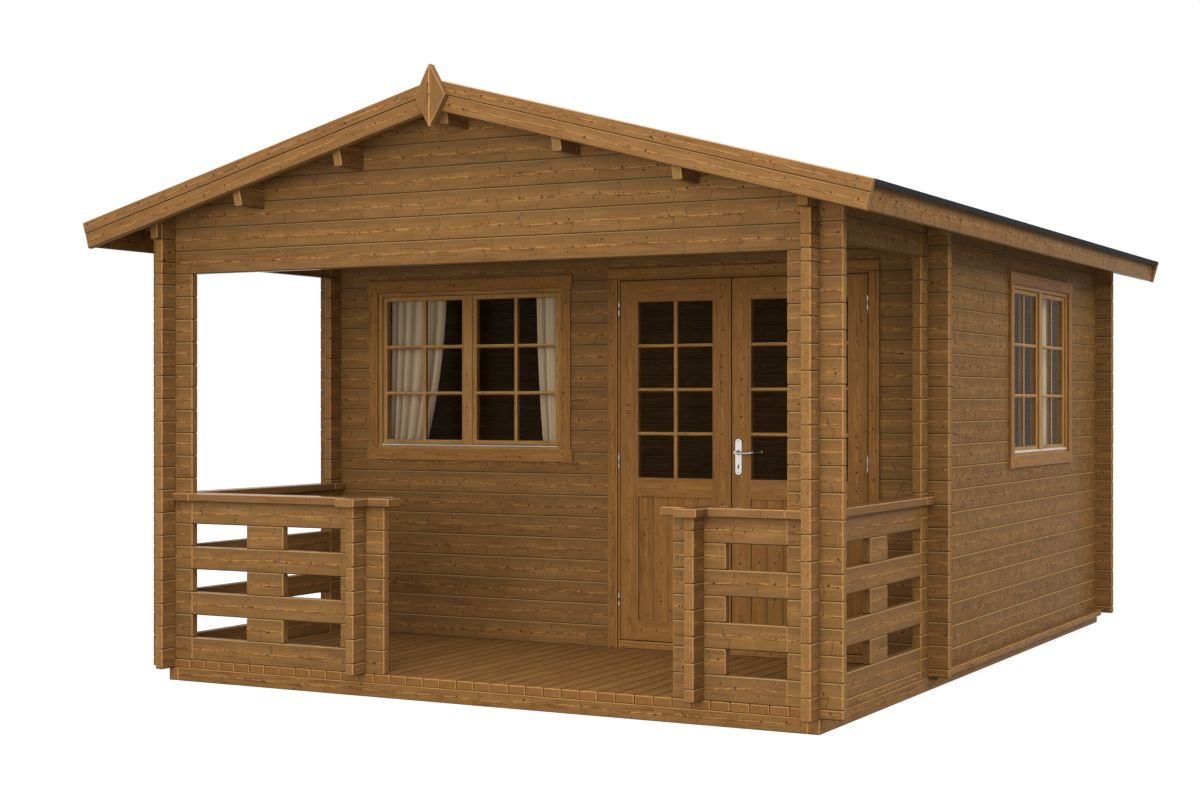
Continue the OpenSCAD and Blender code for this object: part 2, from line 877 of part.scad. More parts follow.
door_leaf_left();
door_leaf_right();
door_glass_left();
door_glass_right();
frame_hinges();
leaf_hinges(left_pin_x, leaf_plate_w);  // leaf_hinges_left
leaf_hinges(right_pin_x, -leaf_plate_w);  // leaf_hinges_right
lock_plates();
door_lever();
window_frames();
window_glass();
window_casings();
curtain_rods();
curtains();
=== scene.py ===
"""Dresses the garden log cabin: logs, boards, joinery, glass, fittings, curtains and a plain studio."""

import math
from functools import partialmethod

import bpy
import numpy as np
from bpy.props import FloatProperty, FloatVectorProperty, IntProperty, PointerProperty
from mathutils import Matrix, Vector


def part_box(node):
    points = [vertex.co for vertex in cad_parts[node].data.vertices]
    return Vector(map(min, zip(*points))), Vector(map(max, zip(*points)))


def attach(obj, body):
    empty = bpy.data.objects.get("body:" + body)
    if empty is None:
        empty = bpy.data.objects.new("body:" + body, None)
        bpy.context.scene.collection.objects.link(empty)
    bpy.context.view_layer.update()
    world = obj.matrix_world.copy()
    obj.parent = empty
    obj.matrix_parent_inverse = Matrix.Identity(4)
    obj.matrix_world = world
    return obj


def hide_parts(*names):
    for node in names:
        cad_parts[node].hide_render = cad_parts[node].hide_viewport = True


bl_info = {
    "name": "Log cabin finish",
    "version": (1, 0, 0),
    "blender": (4, 5, 0),
    "location": "View3D > Sidebar > Cabin",
    "description": "Logs, boards, joinery, glass and curtains for a garden log cabin",
    "category": "Object",
}

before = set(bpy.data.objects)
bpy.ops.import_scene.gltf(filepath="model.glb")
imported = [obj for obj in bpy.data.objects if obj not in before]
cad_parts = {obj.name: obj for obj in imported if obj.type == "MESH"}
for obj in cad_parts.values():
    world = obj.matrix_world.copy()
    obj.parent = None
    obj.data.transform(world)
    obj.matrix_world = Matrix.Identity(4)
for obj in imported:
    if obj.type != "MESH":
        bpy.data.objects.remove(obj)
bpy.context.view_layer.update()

X, Y, Z = np.eye(3)
ORIGIN = np.zeros(3)
SIDES = ((-1, "left"), (1, "right"))


def low(node):
    """Lowest corner of a CAD node."""
    return np.array(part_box(node)[0])


def high(node):
    """Highest corner of a CAD node."""
    return np.array(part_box(node)[1])


# Levels and places that the frame gives, in metres
HALF_W = high("base_side_beams")[0]
END_X = high("front_gable")[0]
FRONT_Y = low("front_gable")[1]
LOG_T = high("front_gable")[1] - FRONT_Y
INNER_X = HALF_W - LOG_T
LOG_END = END_X - HALF_W
BASE_Z = high("base_side_beams")[2]
DECK_Z = high("porch_deck")[2]
LINTEL_Z = low("front_gable")[2]
PORCH_Y = low("porch_wall_left")[1]
REAR_Y = high("rear_wall")[1]
PEAK_Z = high("purlins")[2]
RISE = (PEAK_Z - high("right_wall")[2]) / INNER_X
WALL_TOP = PEAK_Z - HALF_W * RISE
PITCH = math.atan(RISE)
RAIL_TOP = low("railing_caps_side")[2]
SIDE_WINDOW_X = INNER_X - 0.3  # solids of the side window lie beyond it
SLIVER = 0.004  # no piece of a log is thinner
TIGHT_ARRIS = 0.0003  # chamfer of a log's end that meets a frame


def metres(name, description, default):
    return FloatProperty(name=name, description=description, default=default, unit="LENGTH")


def swatch(name, description, default):
    return FloatVectorProperty(name=name, description=description, default=default, subtype="COLOR")


class TimberSizes(bpy.types.PropertyGroup):
    course: metres("Course", "Height of one course of logs", 0.12)
    joint: metres("Joint", "Chamfer along the edges of a log", 0.005)
    arris: metres("Arris", "Chamfer at the ends of a log", 0.004)
    deck_board: metres("Deck board", "Width of a deck board with its gap", 0.0975)
    deck_gap: metres("Deck gap", "Gap between two deck boards", 0.005)
    roof_board: metres("Roof board", "Cover of a roof board", 0.092)
    seed: IntProperty(name="Seed", description="Start of the random draws for the grain of the boards", default=7)


class JoinerySizes(bpy.types.PropertyGroup):
    upright_bar: metres("Upright bar", "Width of an upright glazing bar", 0.018)
    level_bar: metres("Level bar", "Height of a level glazing bar", 0.020)
    panel_board: metres("Panel board", "Width of a board in a door panel", 0.086)
    mid_rail: metres("Middle rail", "Height of the middle rail of a leaf", 0.107)
    bottom_rail: metres("Bottom rail", "Height of the bottom rail of a leaf", 0.110)
    panel_recess: metres("Panel recess", "Depth of a door panel behind its stiles", 0.010)
    leaf_gap: metres("Leaf gap", "Gap between a leaf and the frame", 0.005)
    stop: metres("Stop", "Width of the stop behind the leaves", 0.016)
    door_casing: metres("Door casing", "Width of the casing of the door", 0.057)
    casing: metres("Casing", "Width of the casing of a window", 0.072)
    casing_t: metres("Casing thickness", "Thickness of the casing of a window", 0.020)
    barge: metres("Bargeboard", "Height of a bargeboard", 0.142)
    barge_step: metres("Bargeboard step", "How far the strip stands out", 0.003)
    strip: metres("Cover strip", "Height of the strip on a bargeboard", 0.062)
    folds: IntProperty(name="Folds", description="Folds across a wide curtain", default=6)


class CabinColours(bpy.types.PropertyGroup):
    log: swatch("Log", "Stained log", (0.211, 0.101, 0.029))
    log_dark: swatch("Log, dark grain", "Dark grain", (0.132, 0.061, 0.018))
    log_light: swatch("Log, light grain", "Light grain", (0.318, 0.172, 0.057))
    knot: swatch("Knot", "Heart of a knot", (0.030, 0.012, 0.005))
    smoke: swatch("Smudge", "Dull smudge beside a seam", (0.075, 0.052, 0.033))
    felt: swatch("Felt", "Mineral roof felt", (0.010, 0.012, 0.012))
    metal: swatch("Metal", "Satin fittings", (0.52, 0.51, 0.49))
    glass: swatch("Glass", "Tint of the panes", (0.012, 0.014, 0.008))
    cloth: swatch("Cloth", "Curtain cloth", (0.68, 0.61, 0.54))


def timber():
    return bpy.context.scene.cabin_timber


def joinery():
    return bpy.context.scene.cabin_joinery


def colours():
    return bpy.context.scene.cabin_colours


# ---------------------------------------------------------------- shader writing


class Value:
    """A number in a material. Each operator on it adds one Math node."""

    def __init__(self, paint, socket):
        self.paint = paint
        self.socket = socket

    def math(self, operation, *others, clamp=False):
        return self.paint.add("ShaderNodeMath", {"operation": operation, "use_clamp": clamp}, [self, *others])

    __add__ = __radd__ = partialmethod(math, "ADD")
    __sub__ = partialmethod(math, "SUBTRACT")
    __mul__ = __rmul__ = partialmethod(math, "MULTIPLY")
    __truediv__ = partialmethod(math, "DIVIDE")
    __pow__ = partialmethod(math, "POWER")
    __gt__ = partialmethod(math, "GREATER_THAN")
    __abs__ = partialmethod(math, "ABSOLUTE")
    __neg__ = partialmethod(math, "MULTIPLY", -1.0)
    clamp = partialmethod(math, "ADD", 0.0, clamp=True)
    sine = partialmethod(math, "SINE")
    root = partialmethod(math, "SQRT")
    most = partialmethod(math, "MAXIMUM")

    def __rsub__(self, other):
        return self.paint.add("ShaderNodeMath", {"operation": "SUBTRACT"}, [other, self])

    def step(self, start, end):
        """Goes smoothly from 0 at start to 1 at end; start may be the greater one."""
        if start < end:
            return self.paint.add("ShaderNodeMapRange", {"interpolation_type": "SMOOTHSTEP"},
                                  {"Value": self, "From Min": start, "From Max": end})
        return 1.0 - self.step(end, start)


class Paint:
    """A new material, or a new world, and its node tree."""

    def __init__(self, name, family="materials"):
        self.owner = getattr(bpy.data, family).new(name)
        self.owner.use_nodes = True
        self.tree = self.owner.node_tree
        self.tree.nodes.clear()

    def add(self, kind, settings, inputs, output=0):
        """Adds a node: its settings first, then its sockets by name or in order. Gives one output, or the node."""
        node = self.tree.nodes.new(kind)
        for key, value in settings.items():
            setattr(node, key, value)
        pairs = inputs.items() if isinstance(inputs, dict) else enumerate(inputs)
        for key, value in pairs:
            self.set(node.inputs[key], value)
        return node if output is None else Value(self, node.outputs[output])

    def set(self, socket, value):
        if isinstance(value, Value):
            self.tree.links.new(value.socket, socket)
        elif hasattr(value, "__len__"):
            size = len(socket.default_value)
            socket.default_value = tuple(value) + (1.0,) * (size - len(value))
        else:
            socket.default_value = value

    def outputs(self, node, *names):
        return [Value(self, node.outputs[name]) for name in names]

    def attribute(self, name, output="Fac"):
        return self.add("ShaderNodeAttribute", {"attribute_name": name}, {}, output)

    def split(self, vector):
        return self.outputs(self.add("ShaderNodeSeparateXYZ", {}, [vector], None), "X", "Y", "Z")

    def join(self, x, y, z):
        return self.add("ShaderNodeCombineXYZ", {}, [x, y, z])

    def where(self):
        """Where a point lies on its object, in metres."""
        return self.add("ShaderNodeTexCoord", {}, {}, "Object")

    def cells(self, along, **settings):
        """Cells of random length along one line, as a node."""
        return self.add("ShaderNodeTexVoronoi", {"voronoi_dimensions": "1D", **settings},
                        {"W": along, "Scale": 1.0}, None)

    def noise(self, vector, scale=1.0, detail=2.0, rough=0.5):
        return self.add("ShaderNodeTexNoise", {},
                        {"Vector": vector, "Scale": scale, "Detail": detail, "Roughness": rough})

    def mix(self, factor, first, second):
        """Colour first where factor is 0 and second where it is 1."""
        node = self.add("ShaderNodeMix", {"data_type": "RGBA"}, {}, None)
        for index, value in ((0, factor), (6, first), (7, second)):
            self.set(node.inputs[index], value)
        return Value(self, node.outputs[2])

    def bump(self, height, strength, distance):
        return self.add("ShaderNodeBump", {}, {"Height": height, "Strength": strength, "Distance": distance})

    def principled(self, **sockets):
        inputs = {name.replace("_", " "): value for name, value in sockets.items()}
        return self.add("ShaderNodeBsdfPrincipled", {}, inputs)

    def facing(self):
        """0 where a face looks straight at the viewer, 1 at its rim."""
        return self.add("ShaderNodeLayerWeight", {}, {"Blend": 0.5}, "Facing")

    def finish(self, surface):
        self.add("ShaderNodeOutputMaterial", {}, {"Surface": surface}, None)
        return self.owner


def times(factor, colour):
    return tuple(factor * part for part in colour)


# Rows of knots in a board: how far they stand apart, how wide they scatter, and the least and greatest radius
KNOT_ROWS = ((0.095, 0.012, 0.0005, 0.0070), (0.120, 0.104, -0.0020, 0.0062), (0.034, 0.014, -0.0010, 0.0040))


def wood(name, base, dark, light, knots=1.0, heart=1.0, seams=1.0, rough=0.76, length=0.15, ends=0.15,
         edges=1.0, wide=1.0):
    """Stained spruce. The grain attribute holds metres along, across and through each board, with the middle of
    its face at across 0. A pale line follows that middle and wanders with a slow noise, with dark dashes on it.
    Thin seams cross each half of the face at the borders of cells of random length, bent by noise. Knots are
    small discs round rows of random points. Streaks of three widths and a dull band near the joints do the rest.
    A chamfered edge gets a painted highlight where it faces up or sideways and painted shade where it faces
    down, and edges scales that highlight. Wide stretches knots and seams along the board, and ends is how much
    paler, or darker if it is below 0, the cut ends are."""
    paint = Paint(name)
    x, y, z = paint.split(paint.attribute("grain", "Vector"))
    tone, worn, cut = (paint.attribute(key) for key in ("tone", "worn", "cut"))
    skin = 1.0 - cut

    def streaks(along, aside, **more):
        return paint.noise(paint.join(x * along, y * aside, z * aside), **more)

    def broken(along, seed, start, end):
        """Goes between 0 and 1 along the board."""
        return paint.noise(paint.join(x * along, seed, 0.0), detail=1.0).step(start, end)

    ragged = streaks(9.0, 16.0) - 0.5
    cloud = streaks(3.0, 38.0, detail=4.0, rough=0.6)
    streak = streaks(8.0, 105.0)
    fibre = streaks(9.0, 300.0)

    # The pale middle line and its dashes
    drift = paint.noise(paint.join(x * 2.6, 3.1, 1.7), detail=3.0, rough=0.6) - 0.5
    off = y + drift * 0.046
    near = abs(off)
    pale_line = near.step(0.0038, 0.0010) * broken(16.0, 7.7, 0.42, 0.52)
    dashes = abs(off + 0.0042).step(0.0030, 0.0008)
    dashes = dashes * broken(24.0, 1.3, 0.46, 0.56)

    # Seams: dark after a border, pale before it, with a dull smudge beside some
    half = off > 0.0
    lean = paint.noise(paint.join(x * 5.0, off * 20.0, half * 9.0)) - 0.5
    run = (x + lean * 0.11) / length + half * 31.7
    tint, centre = paint.outputs(paint.cells(run), "Color", "W")
    red, green, blue = paint.split(tint)
    edge = length * paint.outputs(paint.cells(run, feature="DISTANCE_TO_EDGE"), "Distance")[0]
    before = run > centre
    seam = 0.0058 * wide, 0.0016 * wide
    dark_seam = edge.step(*seam) * before * green.step(0.20, 0.45)
    pale_seam = edge.step(*seam) * (1.0 - before) * green.step(0.15, 0.40)
    smudge = edge.step(0.0190, 0.0020) * before * blue.step(0.40, 0.70)
    smudge = smudge * paint.noise(paint.join(x * 9.0, off * 45.0, 5.0)).step(0.46, 0.60)

    # Knots on the face, and a nail hole near the top and near the bottom of each cut end
    discs = 0.0
    for row, (pitch, spread, least, most) in enumerate(KNOT_ROWS):
        shift = 3.7 * row
        place_x, kind = paint.outputs(paint.cells(x / pitch + shift), "W", "Color")
        side, size, _ = paint.split(kind)
        away = (x - (place_x - shift) * pitch) / wide
        aside = (y if row == 1 else off) - (side - 0.5) * spread
        reach = (away * away + aside * aside * 1.3).root() + ragged * 0.0016
        discs = (size * (most - least) + least - reach).step(-0.0004, 0.0014) + discs
    discs = discs.clamp() * skin * knots
    nail = z * z + (abs(y) - 0.045) * (abs(y) - 0.045)
    nail = nail.root().step(0.0040, 0.0012) * cut * knots

    shade = (cloud - 0.5) * 0.80 + (streak - 0.5) * 0.75 + (fibre - 0.5) * 0.25 + (tone - 0.5) * 0.18
    shade = shade + 0.5 + (red - 0.5) * (0.12 * seams)
    band = near.step(0.006, 0.054) * skin * heart
    # The darker colour serves dark grain marks and painted shade on edges that face down; the paler one serves the
    # pale grain line and painted highlights on edges
    dark_grain_and_shade, pale_grain_and_highlight = times(0.30, base), times(1.50, light)
    dull = (base[0] * 0.62, base[1] * 0.74, base[2] * 0.95)
    colour = paint.mix(shade.step(0.15, 0.52), dark, base)
    colour = paint.mix(shade.step(0.50, 0.86) * 0.60, colour, light)
    colour = paint.mix(band * (cloud * 0.7 + (y > 0.0) * 0.2), colour, dull)
    colour = paint.mix(pale_line * skin * (0.55 * heart), colour, pale_grain_and_highlight)
    colour = paint.mix(pale_seam * skin * (0.50 * seams), colour, light)
    colour = paint.mix(dashes * skin * (0.70 * heart), colour, dark_grain_and_shade)
    colour = paint.mix(dark_seam * skin * (0.75 * seams), colour, dark_grain_and_shade)
    colour = paint.mix(smudge * skin * (0.70 * seams), colour, colours().smoke)
    colour = paint.mix(discs * 0.90 + nail * 0.5, colour, colours().knot)
    colour = paint.mix(cut * abs(ends), colour, light if ends > 0 else dark)
    # Painted light on chamfered edges: a highlight where an edge faces up or sideways, painted shade where it faces
    # down
    colour = paint.mix(worn.clamp() * (streak * 0.6 + 0.50) * edges, colour, pale_grain_and_highlight)
    colour = paint.mix((-worn).clamp() * 0.85, colour, dark_grain_and_shade)
    height = fibre * 0.30 + streak * 0.20 + cloud * 0.20 - discs * 0.4 - dark_seam * 0.5
    return paint.finish(paint.principled(
        Base_Color=colour,
        Roughness=rough + (fibre - 0.5) * 0.2,
        Specular_IOR_Level=0.12,
        Coat_Weight=paint.facing() ** 10.0 * skin,
        Coat_Roughness=0.18,
        Normal=paint.bump(height, 0.35, 0.0010),
    ))


def felt(name):
    """Mineral felt: dark bitumen with pale and green granules, each granule one cell of a fine pattern."""
    paint = Paint(name)
    at = paint.where()
    grit = paint.add("ShaderNodeTexVoronoi", {}, {"Vector": at, "Scale": 420.0}, None)
    distance, tint = paint.outputs(grit, "Distance", "Color")
    red = paint.split(tint)[0]
    cloud = paint.noise(at, scale=1.7, detail=4.0)
    colour = paint.mix(red.step(0.35, 0.95), colours().felt, (0.022, 0.025, 0.025))
    colour = paint.mix(cloud.step(0.35, 0.7) * 0.4, colour, (0.005, 0.006, 0.006))
    return paint.finish(paint.principled(Base_Color=colour, Roughness=0.86 - red * 0.15, Specular_IOR_Level=0.08,
                                         Normal=paint.bump(distance, 0.6, 0.002)))


def metal(name, base, rough):
    """Satin metal with faint brushing in short strokes."""
    paint = Paint(name)
    at = paint.where()
    x, y, z = paint.split(at)
    brushed = paint.noise(paint.join(x * 60.0, y * 60.0, z * 900.0))
    wear = paint.noise(at, scale=35.0, detail=3.0)
    return paint.finish(paint.principled(Base_Color=paint.mix(wear * 0.25, base, times(0.7, base)), Metallic=1.0,
                                         Roughness=rough + (brushed - 0.5) * 0.2 + wear * 0.08,
                                         Normal=paint.bump(brushed, 0.15, 0.0003)))


def dark_metal(name):
    """Blackened screw heads, and painted shade for the inside of a keyhole."""
    paint = Paint(name)
    grit = paint.noise(paint.where(), scale=300.0)
    colour = paint.mix(grit, (0.020, 0.012, 0.007), (0.050, 0.030, 0.018))
    return paint.finish(paint.principled(Base_Color=colour, Metallic=0.1, Roughness=0.55 + grit * 0.2))


def lacquer(name):
    """White lacquer on a rod, with slight wear."""
    paint = Paint(name)
    wear = paint.noise(paint.where(), scale=24.0, detail=3.0)
    colour = paint.mix(wear * 0.3, (0.74, 0.72, 0.66), (0.62, 0.59, 0.52))
    return paint.finish(paint.principled(Base_Color=colour, Roughness=0.4 + wear * 0.2))


def pane_glass(name):
    """Slightly warm pane. Its mirror grows with the sixth power of how far the pane turns from view."""
    paint = Paint(name)
    ripple = paint.noise(paint.where(), scale=2.2, detail=1.0)
    clear = paint.add("ShaderNodeBsdfTransparent", {}, {"Color": (0.97, 0.93, 0.85)})
    mirror = paint.principled(Base_Color=colours().glass, Roughness=0.03, IOR=1.5, Specular_IOR_Level=0.5,
                              Normal=paint.bump(ripple, 0.10, 0.004))
    return paint.finish(paint.add("ShaderNodeMixShader", {}, [paint.facing() ** 6.0 * 0.6 + 0.04, clear, mirror]))


def cloth(name, base):
    """Woven cloth: fine crossing threads on the sheet's own map, with soft slubs along them, and painted shade in
    the folds: darker where the fold attribute goes from 0 on the crest of a fold to 1 in its depth."""
    paint = Paint(name)
    u, v, _ = paint.split(paint.add("ShaderNodeUVMap", {"uv_map": "cloth"}, {}))
    threads = (u * 5200.0).sine() * 0.5 + (v * 5200.0).sine() * 0.5
    slub = paint.noise(paint.join(u * 30.0, v * 400.0, 0.0), detail=3.0)
    colour = paint.mix(slub.step(0.3, 0.8) * 0.35, base, times(0.8, base))
    colour = paint.mix(paint.attribute("valley").step(0.25, 1.0) * 0.75, colour, times(0.35, base))
    return paint.finish(paint.principled(Base_Color=colour, Roughness=0.9, Sheen_Weight=0.2,
                                         Normal=paint.bump(threads * 0.2 + slub, 0.25, 0.0006)))


def looks():
    """Each look by name: its slot, the function that paints it, and what that function is given. For wood these
    are its middle, dark and light colours and the settings that differ from its own."""
    c = colours()
    across_cabin = {"seams": 1.3, "length": 0.110, "wide": 2.4}
    return {
        "log_timber": ("log_timber", wood, (c.log, c.log_dark, c.log_light), {"edges": 0.75}),
        "side_log_timber": ("log_timber", wood, (
            (0.196, 0.092, 0.022), (0.124, 0.056, 0.013), (0.305, 0.158, 0.042)), across_cabin),
        "purlin_timber": ("log_timber", wood, (
            (0.205, 0.095, 0.025), (0.128, 0.056, 0.014), (0.380, 0.215, 0.072)), {"ends": 0.45}),
        "eave_timber": ("trim_timber", wood, (
            (0.205, 0.097, 0.025), (0.128, 0.056, 0.014), (0.322, 0.170, 0.050)), across_cabin),
        "trim_timber": ("trim_timber", wood, (
            (0.210, 0.099, 0.030), (0.128, 0.057, 0.017), (0.316, 0.168, 0.058)), {"heart": 0.8, "seams": 0.5}),
        "joinery_timber": ("joinery_timber", wood, (
            (0.252, 0.113, 0.027), (0.152, 0.062, 0.014), (0.370, 0.196, 0.056)),
            {"heart": 0.5, "seams": 0.35, "rough": 0.66, "edges": 0.5}),
        "sash_timber": ("joinery_timber", wood, (
            (0.320, 0.162, 0.045), (0.204, 0.093, 0.022), (0.450, 0.265, 0.092)),
            {"knots": 0.6, "heart": 0.2, "seams": 0.15, "rough": 0.66, "edges": 0.6}),
        "deck_timber": ("deck_timber", wood, (
            (0.262, 0.125, 0.034), (0.152, 0.066, 0.018), (0.400, 0.212, 0.066)),
            {"knots": 0.5, "heart": 0.3, "seams": 0.3, "ends": -0.6, "edges": 0.5}),
        "base_timber": ("base_timber", wood, (
            (0.215, 0.102, 0.028), (0.131, 0.057, 0.015), (0.313, 0.167, 0.050)), {}),
        "roof_felt": ("roof_felt", felt, (), {}),
        "satin_metal": ("satin_metal", metal, (tuple(c.metal), 0.38), {}),
        "light_metal": ("satin_metal", metal, ((0.72, 0.70, 0.66), 0.42), {}),
        "dark_metal": ("satin_metal", dark_metal, (), {}),
        "rod_metal": ("rod_metal", lacquer, (), {}),
        "glass": ("glass", pane_glass, (), {}),
        "curtain_cloth": ("curtain_cloth", cloth, (tuple(c.cloth),), {}),
        "white_cloth": ("curtain_cloth", cloth, ((0.88, 0.85, 0.78),), {}),
    }


MATERIALS = {}


def material(look):
    """The material of a look, made once, and the look's slot."""
    slot, make, given, settings = looks()[look]
    if look not in MATERIALS:
        MATERIALS[look] = make(look, *given, **settings)
    return MATERIALS[look], slot


# ---------------------------------------------------------------- shapes


def bevelled(a0, a1, b0, b1, c, levels=()):
    """Rectangle from (a0, b0) to (a1, b1) with its four corners cut by c, counter-clockwise. Levels are extra
    points on both long sides at those heights."""
    up = [b for b in sorted(levels) if b0 + c < b < b1 - c]
    right = [(a1, b) for b in up]
    left = [(a0, b) for b in reversed(up)]
    return np.array([(a0 + c, b0), (a1 - c, b0), (a1, b0 + c), *right, (a1, b1 - c), (a1 - c, b1),
                     (a0 + c, b1), (a0, b1 - c), *left, (a0, b0 + c)])


class Stock:
    """The boards of one piece. Each board is a section carried along a straight line, as whole arrays, and
    brings its own grain coordinates; build() makes one mesh of them all."""

    widest_chamfer = 0.03  # a longer oblique side of a section gets no painted light as an edge

    def __init__(self, name):
        self.name = name
        self.rng = np.random.default_rng([timber().seed, *name.encode()])
        self.points, self.grain, self.tone = [], [], []
        self.faces, self.worn, self.cut = [], [], []
        self.count = 0

    def draw(self):
        """Random shift of the grain along a board, and its tone from 0 to 1."""
        return self.rng.uniform(0.0, 60.0), self.rng.uniform(0.0, 1.0)

    def plank(self, at, along, out, up, section, start, end, grain=None, arris=None, pale=True):
        """Section points are (outwards, upwards). Rings stand at start and end, each one number or one value
        for each section point, with smaller rings outside them that chamfer the ends by arris, one number or
        one for each end."""
        section = np.asarray(section, float)
        head, tail = np.broadcast_to(timber().arris if arris is None else arris, 2)
        shift, tone = grain or self.draw()
        n = len(section)
        middle = (section.max(0) + section.min(0)) / 2
        size = section.max(0) - section.min(0)
        small = [middle + (section - middle) * (1 - 2 * min(a, 0.3 * size.min()) / size) for a in (head, tail)]
        first = np.broadcast_to(start, n).astype(float)
        last = np.broadcast_to(end, n).astype(float)
        s = np.concatenate([first, first + head, last - tail, last])
        ab = np.concatenate([small[0], section, section, small[1]])
        self.points.append(at + s[:, None] * along + ab[:, :1] * out + ab[:, 1:] * up)
        self.grain.append(np.column_stack([s + shift, ab[:, 1] - middle[1], ab[:, 0] - middle[0]]))
        self.tone.append(np.full(4 * n, tone))
        i = np.arange(n)
        j = (i + 1) % n
        quads = np.concatenate([np.column_stack([r * n + i, r * n + j, (r + 1) * n + j, (r + 1) * n + i])
                                for r in range(3)])
        caps = np.stack([i[::-1], 3 * n + i])
        if np.dot(np.cross(along, out), up) < 0:
            quads, caps = quads[:, ::-1], caps[:, ::-1]
        edge = section[j] - section[i]
        oblique = (np.abs(edge) > 1e-5).all(1) & (np.linalg.norm(edge, axis=1) < self.widest_chamfer)
        # Painted light on chamfers: 1 paints a highlight where a chamfer faces up or sideways, -1 paints shade
        # where it faces down; pale False paints shade on every long chamfer
        rising = edge[:, 1] * out[2] - edge[:, 0] * up[2]
        sign = np.where(rising < -1e-4, -1.0, 1.0)
        oblique = oblique * (sign if pale else -1.0)
        self.faces += (quads + self.count).tolist() + (caps + self.count).tolist()
        self.worn.append(np.concatenate([sign, oblique, sign, [0, 0]]))
        self.cut.append(np.concatenate([np.zeros(3 * n), [1, 1]]))
        self.count += 4 * n

    def solid(self, points, faces, along, across, worn):
        """Any closed shape, with the grain along one direction; the last argument gives each face its painted
        highlight as an edge, 1 for a full one.
        """
        points = np.asarray(points, float)
        shift, tone = self.draw()
        middle = (points.max(0) + points.min(0)) / 2
        through = np.cross(along, across)
        self.points.append(points)
        self.grain.append(np.column_stack([points @ along + shift, (points - middle) @ across,
                                           (points - middle) @ through]))
        self.tone.append(np.full(len(points), tone))
        self.faces += [[int(i) + self.count for i in face] for face in faces]
        self.worn.append(np.array(worn, float))
        self.cut.append(np.zeros(len(faces)))
        self.count += len(points)

    def build(self, look, *nodes, body="cabin"):
        mesh = bpy.data.meshes.new(self.name)
        mesh.from_pydata(np.concatenate(self.points), [], self.faces)
        for name, kind, domain, values in (("grain", "FLOAT_VECTOR", "POINT", self.grain),
                                           ("tone", "FLOAT", "POINT", self.tone),
                                           ("worn", "FLOAT", "FACE", self.worn),
                                           ("cut", "FLOAT", "FACE", self.cut)):
            field = "vector" if kind == "FLOAT_VECTOR" else "value"
            layer = mesh.attributes.new(name, kind, domain)
            layer.data.foreach_set(field, np.concatenate(values).astype(np.float32).ravel())
        return place(self.name, mesh, look, *nodes, body=body)


def place(name, mesh, look, *nodes, body="cabin"):
    """Puts a finished mesh in the scene, on its body, in the stead of the CAD nodes."""
    paint, slot = material(look)
    mesh.materials.append(paint)
    mesh.update()
    obj = bpy.data.objects.new(name, mesh)
    bpy.context.scene.collection.objects.link(obj)
    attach(obj, body)
    if nodes:
        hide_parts(*nodes)
    return obj


def under(x):
    """Top of what carries the roof, at a distance x from the middle."""
    return PEAK_Z - abs(x) * RISE


def roofed(lo, hi, c):
    """Section of a board that runs from front to rear and fills a box, its top cut to the slope of the roof."""
    section = bevelled(-hi[0], -lo[0], lo[2], hi[2], c)
    section[:, 1] = np.minimum(section[:, 1], [under(x) for x in section[:, 0]])
    return section


def stretches(a, b, width):
    """Neighbouring stretches, each of about one width, that fill a line from a to b."""
    edges = np.linspace(a, b, round((b - a) / width) + 1)
    return zip(edges[:-1], edges[1:])


def mirrored(side, a, b):
    """The stretch from a to b on the right, or its mirror image on the left, in rising order."""
    return (a, b) if side > 0 else (-b, -a)


def courses(z0, z1, joint):
    """Bottom and top of each course from z0 to z1, where joint is the height of one joint between courses."""
    step = timber().course
    first = math.floor((z0 - joint) / step + 1e-6)
    last = math.ceil((z1 - joint) / step - 1e-6)
    rows = [(joint + k * step, joint + (k + 1) * step) for k in range(first, last)]
    rows = [(max(a, z0), min(b, z1)) for a, b in rows]
    return [(a, b) for a, b in rows if b - a > SLIVER]


def pieces_beside(s0, s1, z0, z1, holes):
    """Stretches of one course that stay beside, under and over the holes, each (s0, s1, z0, z1)."""
    out = []
    s = s0
    for h0, h1, g0, g1 in sorted(holes):
        if g1 <= z0 or g0 >= z1 or h1 <= s0 or h0 >= s1:
            continue
        if h0 > s:
            out.append((s, h0, z0, z1))
        for low_z, high_z in ((z0, g0), (g1, z1)):
            if high_z - low_z > SLIVER:
                out.append((max(h0, s0), min(h1, s1), low_z, high_z))
        s = h1
    if s < s1 - SLIVER / 2:
        out.append((s, s1, z0, z1))
    return out


def log_stack(stock, at, along, out, s0, s1, z0, z1, joint, holes=(), gable=False, eave=None):
    """Courses of logs between s0 and s1 along a wall, from z0 to z1, cut around holes. A gable's logs end on the
    slope of the roof; eave is the side on which the top log is cut to the slope, as a sign along out."""
    c = timber().joint
    least = 2.5 * timber().arris
    for low_z, high_z in courses(z0, z1, joint):
        grain = stock.draw()
        for sa, sb, za, zb in pieces_beside(s0, s1, low_z, high_z, holes):
            levels = [under(max(abs(sa), abs(sb)))] if gable else []
            section = bevelled(0.0, LOG_T, za, zb, min(c, (zb - za) / 3), levels)
            start, end = sa, sb
            if gable:
                reach = (PEAK_Z - section[:, 1]) / RISE
                start, end = np.maximum(sa, -reach), np.minimum(sb, reach)
                if (end - start).min() < least:
                    end = np.maximum(end, start + least)
            if eave is not None:
                outer = section[:, 0] if eave > 0 else LOG_T - section[:, 0]
                section[:, 1] = np.minimum(section[:, 1], WALL_TOP + outer * RISE)
            arris = [timber().arris if free else TIGHT_ARRIS for free in (sa == s0, sb == s1)]
            stock.plank(at, along, out, Z, section, start, end, grain, arris)


def front_logs(stock, y, s0, s1, z0, z1, **more):
    """Logs that run across the cabin, their outer face at y. Joints fall on the deck's level."""
    log_stack(stock, y * Y, X, Y, s0, s1, z0, z1, DECK_Z, **more)


